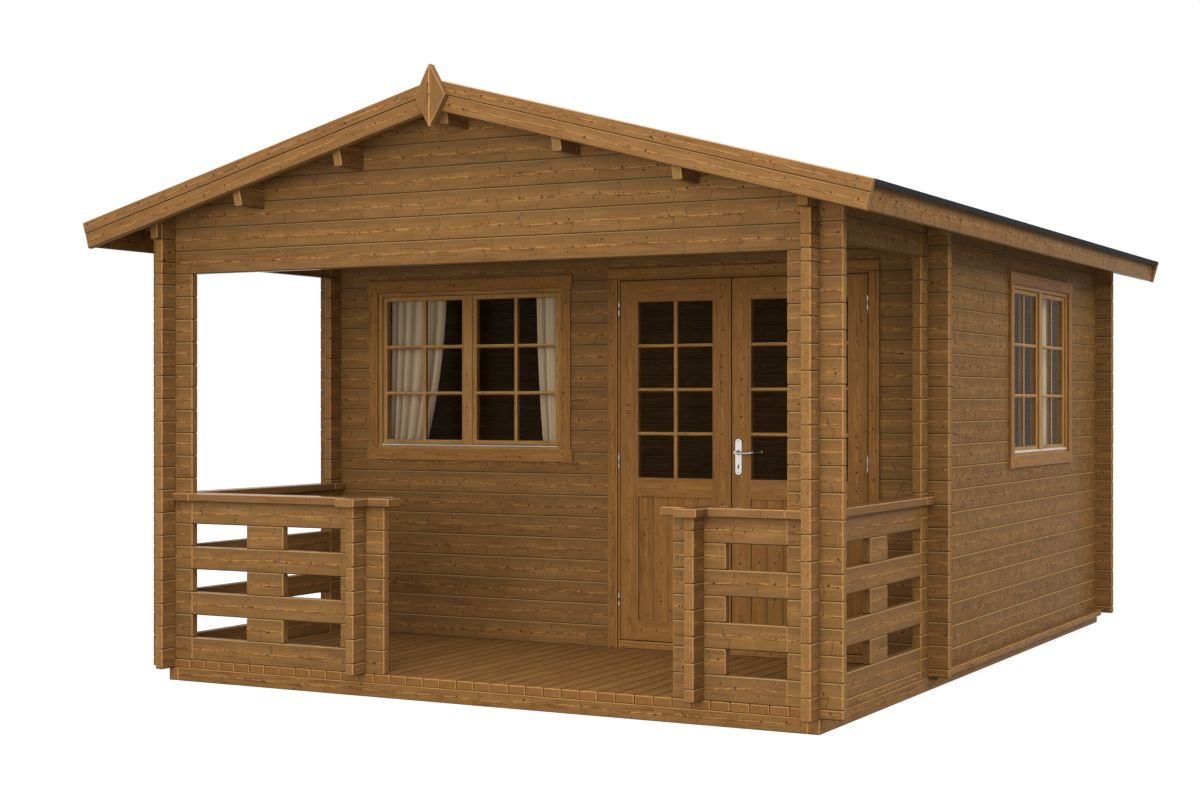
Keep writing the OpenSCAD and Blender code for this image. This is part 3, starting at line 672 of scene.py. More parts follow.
def side_logs(stock, side, s0, s1, z0, z1, **more):
    """Logs that run from front to rear, in the left (-1) or right (1) wall. Joints fall half a course higher."""
    top = z1 >= WALL_TOP - 0.001
    log_stack(stock, wall_face(side), Y, -X, s0, s1, z0, z1 + (LOG_T * RISE if top else 0.0),
              DECK_Z + timber().course / 2, eave=side if top else None, **more)


def wall_face(side):
    """Right face of the left (-1) or right (1) wall."""
    return (HALF_W if side > 0 else -INNER_X) * X


def solids(node):
    """Boxes of a CAD node's separate solids, sorted by their lowest corner. Corners at one place are one point,
    and a solid's number spreads over its triangles until nothing changes."""
    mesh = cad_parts[node].data
    points = np.empty(len(mesh.vertices) * 3)
    mesh.vertices.foreach_get("co", points)
    points = points.reshape(-1, 3)
    corners = np.empty(len(mesh.loops), int)
    mesh.loops.foreach_get("vertex_index", corners)
    weld = np.unique(points.round(4), axis=0, return_inverse=True)[1].ravel()
    triangles = weld[corners].reshape(-1, 3)
    label = np.arange(weld.max() + 1)
    while True:
        lowest = label[triangles].min(1)
        before = label.copy()
        for column in triangles.T:
            np.minimum.at(label, column, lowest)
        if (label == before).all():
            break
    label = label[weld]
    boxes = [(points[label == k].min(0), points[label == k].max(0)) for k in np.unique(label)]
    return sorted(boxes, key=lambda box: tuple(box[0].round(3)))


class Face:
    """Outer face of a wall or leaf. Boards on it are placed by metres to the right of origin, height, and metres
    out of the face."""

    def __init__(self, origin, right, out):
        self.origin = np.asarray(origin, float)
        self.right = right
        self.out = out

    def outline(self, box):
        """Left, right, foot, top, rear and front of a box, for someone who looks at the face."""
        corners = np.array(box) - self.origin
        across, outwards = corners @ self.right, corners @ self.out
        return across.min(), across.max(), box[0][2], box[1][2], outwards.min(), outwards.max()

    def board(self, stock, upright, s0, s1, b0, b1, a0, a1, c=0.003, mitre=0, grain=None, section=None):
        """A board from s0 to s1 along the grain, b0 to b1 across and a0 to a1 outwards. A mitre of 1 or -1 draws
        its ends in at 45 degrees from its upper or lower long edge."""
        section = bevelled(a0, a1, b0, b1, c) if section is None else section
        inset = 0.0
        if mitre:
            inset = (b1 - section[:, 1]) if mitre > 0 else (section[:, 1] - b0)
        along, up = (Z, self.right) if upright else (self.right, Z)
        stock.plank(self.origin, along, self.out, up, section, s0 + inset, s1 - inset, grain,
                    arris=0.0008 if mitre else min(c, 0.003))

    def across(self, stock, x0, x1, z0, z1, a0, a1, **more):
        self.board(stock, False, x0, x1, z0, z1, a0, a1, **more)

    def upright(self, stock, x0, x1, z0, z1, a0, a1, **more):
        self.board(stock, True, z0, z1, x0, x1, a0, a1, **more)

    def rim(self, stock, x0, x1, z0, z1, w, a0, a1, c=0.003):
        """Four mitred boards, w wide, inside the rectangle."""
        for upright, s0, s1, b0, b1, mitre in ((False, x0, x1, z1 - w, z1, 1), (False, x0, x1, z0, z0 + w, -1),
                                               (True, z0, z1, x0, x0 + w, -1), (True, z0, z1, x1 - w, x1, 1)):
            self.board(stock, upright, s0, s1, b0, b1, a0, a1, c, mitre)


def mesh_of(name, points, faces, smooth=False):
    mesh = bpy.data.meshes.new(name)
    mesh.from_pydata(np.asarray(points), [], [list(map(int, face)) for face in faces])
    if smooth:
        mesh.shade_smooth()
    return mesh


def grid_faces(rows, columns, closed=False):
    """Quads of a grid of points, row by row; closed joins the last column to the first."""
    r = np.arange(rows - 1)[:, None]
    c = np.arange(columns if closed else columns - 1)[None]
    d = (c + 1) % columns
    return np.stack(np.broadcast_arrays(r * columns + c, r * columns + d,
                                        (r + 1) * columns + d, (r + 1) * columns + c), -1).reshape(-1, 4)


def turned(path, radii, sides):
    """Tube round a path in one plane: at each point a ring of the given radius, square to the path, and caps on
    the first and last ring. Gives points and faces."""
    path = np.asarray(path, float)
    way = np.gradient(path, axis=0)
    way /= np.linalg.norm(way, axis=1)[:, None]
    side = np.cross(way, Z)
    side /= np.linalg.norm(side, axis=1)[:, None]
    lift = np.cross(side, way)
    cosine, sine = ring_of(sides)
    ring = cosine[None, :, None] * side[:, None] + sine[None, :, None] * lift[:, None]
    points = (path[:, None] + np.asarray(radii)[:, None, None] * ring).reshape(-1, 3)
    n = len(path)
    faces = grid_faces(n, sides, closed=True)[:, ::-1].tolist()
    return points, faces + [list(range(sides)), list(range((n - 1) * sides, n * sides))[::-1]]


def joined(parts):
    """Points and faces of several parts as one."""
    points, faces, count = [], [], 0
    for part_points, part_faces in parts:
        points.append(np.asarray(part_points, float))
        faces += [[int(i) + count for i in face] for face in part_faces]
        count += len(part_points)
    return np.concatenate(points), faces


def brick(lo, hi):
    """Box between two corners: every mix of their coordinates, and six faces that look outwards."""
    points = [[(lo, hi)[i][0], (lo, hi)[j][1], (lo, hi)[k][2]] for i in (0, 1) for j in (0, 1) for k in (0, 1)]
    return points, [(0, 1, 3, 2), (4, 6, 7, 5), (0, 4, 5, 1), (2, 3, 7, 6), (0, 2, 6, 4), (1, 5, 7, 3)]


def ring_of(sides):
    """Cosines and sines of so many steps round a circle."""
    turn = np.linspace(0, 2 * math.pi, sides, endpoint=False)
    return np.cos(turn), np.sin(turn)


def stud(at, out, radius, height, sides=8):
    """Domed head of a screw: three shrinking rings, the last one closed, on the face at a point."""
    out = np.asarray(out, float)
    right = np.cross(out, Y if abs(out[1]) < 0.9 else Z)
    right /= np.linalg.norm(right)
    up = np.cross(out, right)
    cosine, sine = ring_of(sides)
    circle = cosine[:, None] * right + sine[:, None] * up
    rings = [np.asarray(at) + circle * radius * r + out * height * h for r, h in ((1, 0), (0.95, 0.7), (0.6, 1))]
    return np.concatenate(rings), grid_faces(3, sides, closed=True).tolist() + [list(range(2 * sides, 3 * sides))]


# ---------------------------------------------------------------- timber of the shell


class CABIN_OT_base(bpy.types.Operator):
    """Base beams, cross beams and the strips at the foot of the side walls"""
    bl_idname = "cabin.base"
    bl_label = "Base"

    def execute(self, context):
        stock, chamfer = Stock("base_beams"), 0.003
        for lo, hi in solids("base_side_beams") + solids("foot_strips"):
            stock.plank(ORIGIN, Y, -X, Z, bevelled(-hi[0], -lo[0], lo[2], hi[2], chamfer), lo[1], hi[1])
        for lo, hi in solids("base_cross_beams"):
            stock.plank(ORIGIN, X, Y, Z, bevelled(lo[1], hi[1], lo[2], hi[2], chamfer), lo[0], hi[0])
        stock.build("base_timber", "base_side_beams", "base_cross_beams", "foot_strips")
        return {"FINISHED"}


class CABIN_OT_deck(bpy.types.Operator):
    """Deck boards of the porch, and the floor and sill of the room"""
    bl_idname = "cabin.deck"
    bl_label = "Deck and floor"

    chamfer = 0.002

    def execute(self, context):
        stock = Stock("deck_boards")
        self.boards(stock, *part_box("porch_deck"), timber().deck_gap)
        stock.build("deck_timber", "porch_deck")
        lo, hi = low("cabin_floor"), high("cabin_floor")
        lo[1] = PORCH_Y + LOG_T
        stock = Stock("floor_boards")
        self.boards(stock, lo, hi, gap=0.001)
        stock.plank(ORIGIN, X, Y, Z, bevelled(PORCH_Y, lo[1], lo[2], hi[2], self.chamfer),
                    low("door_frame")[0], high("door_frame")[0])
        stock.build("deck_timber", "cabin_floor")
        return {"FINISHED"}

    def boards(self, stock, lo, hi, gap):
        """Boards side by side that run from front to rear and fill a box."""
        for a, b in stretches(lo[0], hi[0], timber().deck_board):
            section = bevelled(lo[2], hi[2], a + gap / 2, b - gap / 2, self.chamfer)
            # pale False paints shade on every long chamfer of a board, which darkens the gaps between boards
            stock.plank(ORIGIN, Y, Z, X, section, lo[1], hi[1], pale=False)


class CABIN_OT_posts(bpy.types.Operator):
    """Corner posts of the porch: crossings of front logs and side logs"""
    bl_idname = "cabin.posts"
    bl_label = "Corner posts"

    def execute(self, context):
        for side, name in SIDES:
            stock = Stock(f"corner_post_{name}")
            front_logs(stock, FRONT_Y, *mirrored(side, INNER_X - LOG_END, END_X), DECK_Z, LINTEL_Z)
            front_logs(stock, FRONT_Y, *mirrored(side, INNER_X, END_X), BASE_Z, DECK_Z)
            side_logs(stock, side, FRONT_Y - LOG_END, FRONT_Y, BASE_Z, LINTEL_Z)
            side_logs(stock, side, FRONT_Y + LOG_T, FRONT_Y + LOG_T + LOG_END, BASE_Z, LINTEL_Z)
            stock.build("log_timber", f"front_post_{name}")
        return {"FINISHED"}


class CABIN_OT_gable(bpy.types.Operator):
    """Front gable, the beams over the sides of the porch and the purlins"""
    bl_idname = "cabin.gable"
    bl_label = "Gable, beams and purlins"

    def execute(self, context):
        stock = Stock("gable_logs")
        front_logs(stock, FRONT_Y, -END_X, END_X, LINTEL_Z, PEAK_Z, gable=True)
        stock.build("log_timber", "front_gable")
        half = timber().course / 2
        for side, name in SIDES:
            stock = Stock(f"porch_beam_logs_{name}")
            side_logs(stock, side, FRONT_Y + LOG_T, PORCH_Y - LOG_END, LINTEL_Z + half, WALL_TOP)
            side_logs(stock, side, FRONT_Y - LOG_END, FRONT_Y, LINTEL_Z, WALL_TOP)
            side_logs(stock, side, low(f"porch_beam_{name}")[1], FRONT_Y - LOG_END, LINTEL_Z + 3 * half, WALL_TOP)
            stock.build("side_log_timber", f"porch_beam_{name}")
        stock, set_back = Stock("purlin_logs"), 0.050
        for lo, hi in solids("purlins"):
            section = roofed(lo, hi, 0.004)
            slant = set_back * (hi[2] - section[:, 1]) / (hi[2] - lo[2])
            stock.plank(ORIGIN, Y, -X, Z, section, lo[1] + slant, hi[1] - slant, arris=0.003)
        stock.build("purlin_timber", "purlins")
        return {"FINISHED"}


class CABIN_OT_walls(bpy.types.Operator):
    """Logs of the porch wall, the side walls and the rear wall"""
    bl_idname = "cabin.walls"
    bl_label = "Walls"

    def execute(self, context):
        (porch_lo, porch_hi), (side_lo, side_hi) = solids("window_frames")
        door_lo, door_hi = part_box("door_frame")
        stock = Stock("porch_wall_logs")
        front_logs(stock, PORCH_Y, -END_X, END_X, BASE_Z, PEAK_Z, gable=True, holes=[
            (porch_lo[0], porch_hi[0], porch_lo[2], porch_hi[2]), (door_lo[0], door_hi[0], 0.0, door_hi[2])])
        stock.build("log_timber", "porch_wall_left", "porch_wall_right", "porch_wall_top")
        plate_z = LINTEL_Z + 1.5 * timber().course
        for side, name in SIDES:
            stock = Stock(f"{name}_wall_logs")
            holes = [(side_lo[1], side_hi[1], side_lo[2], side_hi[2])] if side > 0 else []
            side_logs(stock, side, PORCH_Y + LOG_T, REAR_Y - LOG_T, BASE_Z, WALL_TOP, holes=holes)
            side_logs(stock, side, PORCH_Y - LOG_END, PORCH_Y, BASE_Z, WALL_TOP)
            side_logs(stock, side, REAR_Y, REAR_Y + LOG_END, BASE_Z, WALL_TOP)
            side_logs(stock, side, REAR_Y + LOG_END, high(f"{name}_wall")[1], plate_z, WALL_TOP)
            stock.build("side_log_timber" if side > 0 else "log_timber", f"{name}_wall")
        stock = Stock("rear_wall_logs")
        front_logs(stock, REAR_Y - LOG_T, -END_X, END_X, BASE_Z, PEAK_Z, gable=True)
        stock.build("log_timber", "rear_wall")
        return {"FINISHED"}


class CABIN_OT_railings(bpy.types.Operator):
    """Railings of the porch with open and closed courses, their cross posts and their cap boards"""
    bl_idname = "cabin.railings"
    bl_label = "Railings"

    block = 0.235  # length of the short log in the middle of an open course

    def execute(self, context):
        course, stub = timber().course, 2 * LOG_END + LOG_T
        y0, y1 = FRONT_Y + LOG_T + LOG_END, PORCH_Y - LOG_END
        for side, name in SIDES:
            (x0, *_), (x1, *_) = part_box(f"railing_front_{name}")
            (p0, *_), (p1, *_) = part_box(f"entry_post_{name}")
            opened = [self.middle(x0, x1 - stub), (x1 - stub, p0), (p1, x1)] if side < 0 else [
                (x0, p0), (p1, x0 + stub)]
            stock = Stock(f"railing_logs_front_{name}")
            self.rows(stock, FRONT_Y * Y, X, Y, [(x0, p0), (p1, x1)], opened)
            stock.build("log_timber", f"railing_front_{name}")

            stock = Stock(f"entry_post_logs_{name}")
            log_stack(stock, p1 * X, Y, -X, FRONT_Y - LOG_END, y0, DECK_Z, RAIL_TOP, DECK_Z + course / 2)
            stock.build("log_timber", f"entry_post_{name}")

            stock, at = Stock(f"railing_logs_side_{name}"), wall_face(side)
            self.rows(stock, at, Y, -X, [(y0, y1)], [self.middle(y0, y1)])
            stock.plank(at, Y, -X, Z, bevelled(0.0, LOG_T, BASE_Z, DECK_Z, timber().joint), y0, y1)
            stock.build("log_timber", f"railing_side_{name}")
        self.caps(y0, y1)
        return {"FINISHED"}

    def middle(self, a, b):
        """Ends of the short log between a and b."""
        return (a + b) / 2 - self.block / 2, (a + b) / 2 + self.block / 2

    def rows(self, stock, at, along, out, closed, opened):
        """Courses of a railing, closed and open in turn, each with its stretches of log."""
        step = timber().course
        for row in range(round((RAIL_TOP - DECK_Z) / step)):
            z = DECK_Z + row * step
            grain = stock.draw()
            for s0, s1 in opened if row % 2 else closed:
                stock.plank(at, along, out, Z, bevelled(0.0, LOG_T, z, z + step, timber().joint), s0, s1, grain)

    def caps(self, side_y0, side_y1):
        """Cap boards: the short board over a cross post runs through, and boards beside a log end are strips."""
        stock, top_z = Stock("railing_cap_boards"), high("railing_caps_side")[2]

        def flat(along, s0, s1, b0, b1, grain=None):
            up = Y if along is X else X
            stock.plank(ORIGIN, along, Z, up, bevelled(RAIL_TOP, top_z, b0, b1, 0.004), s0, s1, grain, arris=0.003)

        reach = high("railing_caps_side")[0] - HALF_W + LOG_T / 2
        y0, y1 = FRONT_Y + LOG_T / 2 - reach, FRONT_Y + LOG_T / 2 + reach
        stub = INNER_X - LOG_END
        for (side, name), (lo, hi) in zip(SIDES, solids("railing_caps_front")):
            post = (low(f"entry_post_{name}")[0] + high(f"entry_post_{name}")[0]) / 2
            flat(Y, lo[1], hi[1], post - reach, post + reach)
            grain = stock.draw()
            flat(X, -stub if side < 0 else lo[0], post - reach, y0, y1, grain)
            flat(X, post + reach, hi[0] if side < 0 else stub, y0, y1, grain)
            for b0, b1 in ((y0, FRONT_Y), (FRONT_Y + LOG_T, y1)):
                flat(X, *mirrored(side, stub, INNER_X), b0, b1, grain)
        for (side, name), (lo, hi) in zip(SIDES, solids("railing_caps_side")):
            near, far = sorted((abs(lo[0]), abs(hi[0])))
            outer, inner = mirrored(side, HALF_W, far), mirrored(side, near, INNER_X)
            grain = stock.draw()
            flat(Y, side_y0, side_y1, lo[0], hi[0], grain)
            for s0, s1, strip in ((FRONT_Y + LOG_T, side_y0, outer), (y1, side_y0, inner),
                                  (side_y1, PORCH_Y, outer), (side_y1, PORCH_Y, inner)):
                flat(Y, s0, s1, *strip, grain)
        stock.build("trim_timber", "railing_caps_front", "railing_caps_side")


# ---------------------------------------------------------------- roof


def slope(side):
    """Directions down a slope and square out of it."""
    down = np.array([side * math.cos(PITCH), 0.0, -math.sin(PITCH)])
    return down, np.array([side * math.sin(PITCH), 0.0, math.cos(PITCH)])


class CABIN_OT_roof(bpy.types.Operator):
    """Roof boards down each slope, strips of felt over them, boards along the eaves"""
    bl_idname = "cabin.roof"
    bl_label = "Roof boards and felt"

    def execute(self, context):
        y0, y1 = low("roof_felt")[1], high("roof_felt")[1]
        edge_x, _, ridge_z = high("roof_boards_right")
        thick = (ridge_z - PEAK_Z) * math.cos(PITCH)
        for side, name in SIDES:
            down, out = slope(side)
            stock = Stock(f"roof_board_{name}")
            for a, b in stretches(y0, y1, timber().roof_board):
                section = bevelled(0.0, thick, a, b, 0.004)
                lean = section[:, 0] * math.sin(PITCH)
                stock.plank(PEAK_Z * Z, down, out, Y, section,
                            -lean / math.cos(PITCH), (edge_x - lean) / math.cos(PITCH), arris=0.001)
            stock.build("trim_timber", f"roof_boards_{name}")
        stock, into_roof = Stock("eave_fascias"), 0.01
        for lo, hi in solids("eave_boards"):
            stock.plank(ORIGIN, Y, -X, Z, roofed(lo, hi + into_roof * Z, 0.003), lo[1], hi[1], arris=0.002)
        stock.build("eave_timber", "eave_boards")
        self.felt(y0, y1, edge_x, thick)
        return {"FINISHED"}

    def felt(self, y0, y1, edge_x, thick):
        """Felt in lengths from gable to gable, each lapping the one below, a lip over the eave and a strip over
        the ridge."""
        outer_x, _, top_z = high("roof_felt")
        base = PEAK_Z + thick / math.cos(PITCH)
        full = (top_z - base) * math.cos(PITCH)
        rows, lap, sheet_t, strip_w = 3, 0.08, 0.4 * full, 0.16
        surface, strip_under, hairline = full - 0.4 * sheet_t, 0.6 * full, 0.0005
        reach = edge_x / math.cos(PITCH)
        stock = Stock("felt_sheets")
        for side in (-1, 1):
            down, out = slope(side)
            for k in range(rows):
                s0, s1 = max(reach * k / rows - lap, 0.0), reach * (k + 1) / rows
                section = np.array([(0.0 if k == rows - 1 else sheet_t, -s1), (surface, -s1),
                                    (sheet_t, -s0), (0.0, -s0)])
                section[:, 1] += np.where(section[:, 1] > -0.01, section[:, 0] * math.tan(PITCH), 0.0)
                stock.plank(base * Z, Y, out, -down, section, y0, y1, arris=hairline)
            strip = np.array([(strip_under, -strip_w), (full, -strip_w), (full, full * math.tan(PITCH)),
                              (strip_under, strip_under * math.tan(PITCH))])
            stock.plank(base * Z, Y, out, -down, strip, y0, y1, arris=hairline)
            lip_top = top_z - edge_x * RISE
            lip_foot = lip_top - thick - full
            lip = np.array([(edge_x, lip_foot), (outer_x, lip_foot), (outer_x, top_z - outer_x * RISE),
                            (edge_x, lip_top)])
            stock.plank(ORIGIN, Y, side * X, Z, lip, y0, y1, arris=hairline)
        stock.build("roof_felt", "roof_felt")


class CABIN_OT_bargeboards(bpy.types.Operator):
    """Bargeboards and cover strips on both gables, with their screws, and the diamond at the ridge"""
    bl_idname = "cabin.bargeboards"
    bl_label = "Bargeboards and diamond"

    def execute(self, context):
        edge_x, _, top_z = high("bargeboards_front")
        board_h, strip_h = joinery().barge, joinery().strip
        first, last, rows, from_edge, from_foot = 0.22, 0.07, 5, 0.016, 0.030
        sunk, mitre_gap = 0.0002, 0.0003
        spots = []
        for node, front in (("bargeboards_front", -1), ("bargeboards_rear", 1)):
            lo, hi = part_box(node)
            thick = hi[1] - lo[1]
            board_t = thick - joinery().barge_step
            stock = Stock(node.replace("boards", "_board"))
            for side in (-1, 1):
                down, up = slope(side)
                at = np.array([0.0, hi[1] if front < 0 else lo[1], top_z])
                for h0, h1, a1 in ((strip_h, board_h, board_t), (0.0, strip_h, thick)):
                    section = bevelled(0.0, a1, -h1, -h0, 0.0045)
                    stock.plank(at, down, front * Y, up, section, mitre_gap - section[:, 1] * math.tan(PITCH),
                                edge_x / math.cos(PITCH), arris=0.0015)
                for s in np.linspace(first, edge_x / math.cos(PITCH) - last, rows):
                    for h, a in ((from_edge, thick), (strip_h - from_edge, thick), (board_h - from_foot, board_t)):
                        spots.append((at + down * s - up * h + front * Y * (a - sunk), front * Y))
            stock.build("trim_timber", node)
        lo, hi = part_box("ridge_diamond")
        mid = (lo + hi) / 2
        above_middle = 0.003
        spots.append(((mid[0], lo[1] + sunk, mid[2] + above_middle), -Y))
        heads = joined([stud(at, out, 0.0040, 0.0012) for at, out in spots])
        place("trim_screws", mesh_of("trim_screws", *heads, smooth=True), "dark_metal")
        self.diamond(np.array(lo), np.array(hi))
        return {"FINISHED"}

    def diamond(self, lo, hi):
        """Diamond whose face folds along its upright middle line. Three rings of six points, two of them close
        together at each tip: the rear outline, the front outline and the face, drawn in by a chamfer."""
        side_t, chamfer, line = 0.036, 0.004, 0.0022
        (x_mid, _, z_mid), (half_w, _, half_h) = (lo + hi) / 2, (hi - lo) / 2
        tip = line / half_w
        across = np.array([-tip, tip, 1.0, tip, -tip, -1.0])
        tall = np.array([-1.0, -1.0, 0.0, 1.0, 1.0, 0.0])
        front = np.where(tall == 0, hi[1] - side_t, lo[1])
        rings = []
        for depth, inset in ((np.full(6, hi[1]), 0.0), (front + chamfer * 0.6, 0.0), (front, chamfer)):
            flat_x = across * np.where(tall == 0, half_w - inset, half_w)
            rings.append(np.column_stack([x_mid + flat_x, depth, z_mid + tall * (half_h - 1.8 * inset)]))
        face = [[12, 13, 15, 16], [13, 14, 15], [12, 16, 17], [5, 4, 3, 2, 1, 0]]
        # Painted highlight as an edge: 0.6 on the chamfers and full on the narrow strip along the fold of the face
        worn = [0] * 6 + [0.6] * 6 + [1, 0, 0, 0]
        stock = Stock("diamond_board")
        stock.solid(np.concatenate(rings), grid_faces(3, 6, closed=True).tolist() + face, Z, X, worn)
        stock.build("trim_timber", "ridge_diamond")


# ---------------------------------------------------------------- joinery


def porch_face():
    return Face((0.0, PORCH_Y, 0.0), X, -Y)


class CABIN_OT_door_frame(bpy.types.Operator):
    """Frame, threshold, stops and casing of the double door"""
    bl_idname = "cabin.door_frame"
    bl_label = "Door frame and casing"

    def execute(self, context):
        face, gap = porch_face(), joinery().leaf_gap
        lo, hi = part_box("door_frame")
        left, right = low("door_leaf_left"), high("door_leaf_right")
        x0, x1, top = left[0] - gap, right[0] + gap, right[2] + gap
        rear, under_leaf = lo[1] - hi[1], 0.006
        threshold = left[2] - under_leaf
        stock = Stock("door_frame_boards")
        for a, b in ((lo[0], x0), (x1, hi[0])):
            face.upright(stock, a, b, lo[2], hi[2], rear, 0.0)
        face.across(stock, x0, x1, top, hi[2], rear, 0.0)
        face.across(stock, x0, x1, lo[2], threshold, rear, 0.0, c=0.005)
        stop, stop_a = joinery().stop, -(high("door_leaf_left")[1] - PORCH_Y + gap)
        for a, b in ((x0, x0 + stop), (x1 - stop, x1)):
            face.upright(stock, a, b, threshold, top, rear, stop_a, c=0.002)
        face.across(stock, x0 + stop, x1 - stop, top - stop, top, rear, stop_a, c=0.002)
        stock.build("joinery_timber", "door_frame")
        lo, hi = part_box("door_casing")
        stock, w, t = Stock("door_casing_boards"), joinery().door_casing, hi[1] - lo[1]
        for a, b in ((lo[0], lo[0] + w), (hi[0] - w, hi[0])):
            face.upright(stock, a, b, lo[2], hi[2] - w, 0.0, t)
        face.across(stock, lo[0], hi[0], hi[2] - w, hi[2], 0.0, t)
        stock.build("joinery_timber", "door_casing")
        return {"FINISHED"}


def glazing(face, stock, x0, x1, z0, z1, a0, a1, rows):
    """One upright bar and the bars across it in an opening, each a moulding with sloped sides."""
    upright, level = joinery().upright_bar / 2, joinery().level_bar / 2
    mid = (x0 + x1) / 2
    shoulder = a0 + (a1 - a0) * 0.45

    def moulding(m, half, flat):
        return np.array([(a0, m - half), (shoulder, m - half), (a1, m - half * flat), (a1, m + half * flat),
                         (shoulder, m + half), (a0, m + half)])

    face.board(stock, True, z0, z1, 0, 0, 0, 0, section=moulding(mid, upright, 0.7))
    for k in range(1, rows):
        z = z0 + (z1 - z0) * k / rows
        for s0, s1 in ((x0, mid - upright), (mid + upright, x1)):
            face.board(stock, False, s0, s1, 0, 0, 0, 0, section=moulding(z, level, 0.5))


def panel_section(a0, a1, b0, b1):
    """Section of a panel board: its face falls off steeply into a narrow groove at both long edges, on both
    sides of the leaf."""
    w, d = 0.0022, 0.009
    return np.array([(a0, b0 + w), (a0 + d, b0), (a1 - d, b0), (a1, b0 + w), (a1, b1 - w), (a1 - d, b1),
                     (a0 + d, b1), (a0, b1 - w)])


class CABIN_OT_door_leaves(bpy.types.Operator):
    """Both leaves: stiles, rails, glazing bars and V-jointed lower panels"""
    bl_idname = "cabin.door_leaves"
    bl_label = "Door leaves"

    def execute(self, context):
        for _, name in SIDES:
            self.leaf(name)
        return {"FINISHED"}

    def leaf(self, name):
        face, j = porch_face(), joinery()
        (x0, y0, z0), (x1, y1, z1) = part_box(f"door_leaf_{name}")
        glass_lo, glass_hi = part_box(f"door_glass_{name}")
        groove, bar_back, pane_rows = 0.008, 0.004, 4
        in0, in1 = glass_lo[0] + groove, glass_hi[0] - groove
        g0, g1 = glass_lo[2] + groove, glass_hi[2] - groove
        rear = y0 - y1
        stock = Stock(f"leaf_boards_{name}")
        for a, b in ((x0, in0), (in1, x1)):
            face.upright(stock, a, b, z0, z1, rear, 0.0, c=0.0025)
        for r0, r1 in ((g1, z1), (g0 - j.mid_rail, g0), (z0, z0 + j.bottom_rail)):
            face.across(stock, in0, in1, r0, r1, rear, 0.0, c=0.0015)
        bars = Stock(f"leaf_bars_{name}")
        for a0, a1 in ((y0 - glass_lo[1], -bar_back), (y0 - glass_hi[1], rear + bar_back)):
            glazing(face, bars, in0, in1, g0, g1, a0, a1, pane_rows)
        bars.build("sash_timber", f"door_leaf_{name}", body=f"door_{name}")
        for b0, b1 in stretches(in0, in1, j.panel_board):
            face.board(stock, True, z0 + j.bottom_rail, g0 - j.mid_rail, 0, 0, 0, 0,
                       section=panel_section(rear + j.panel_recess, -j.panel_recess, b0, b1))
        stock.build("joinery_timber", f"door_leaf_{name}", body=f"door_{name}")


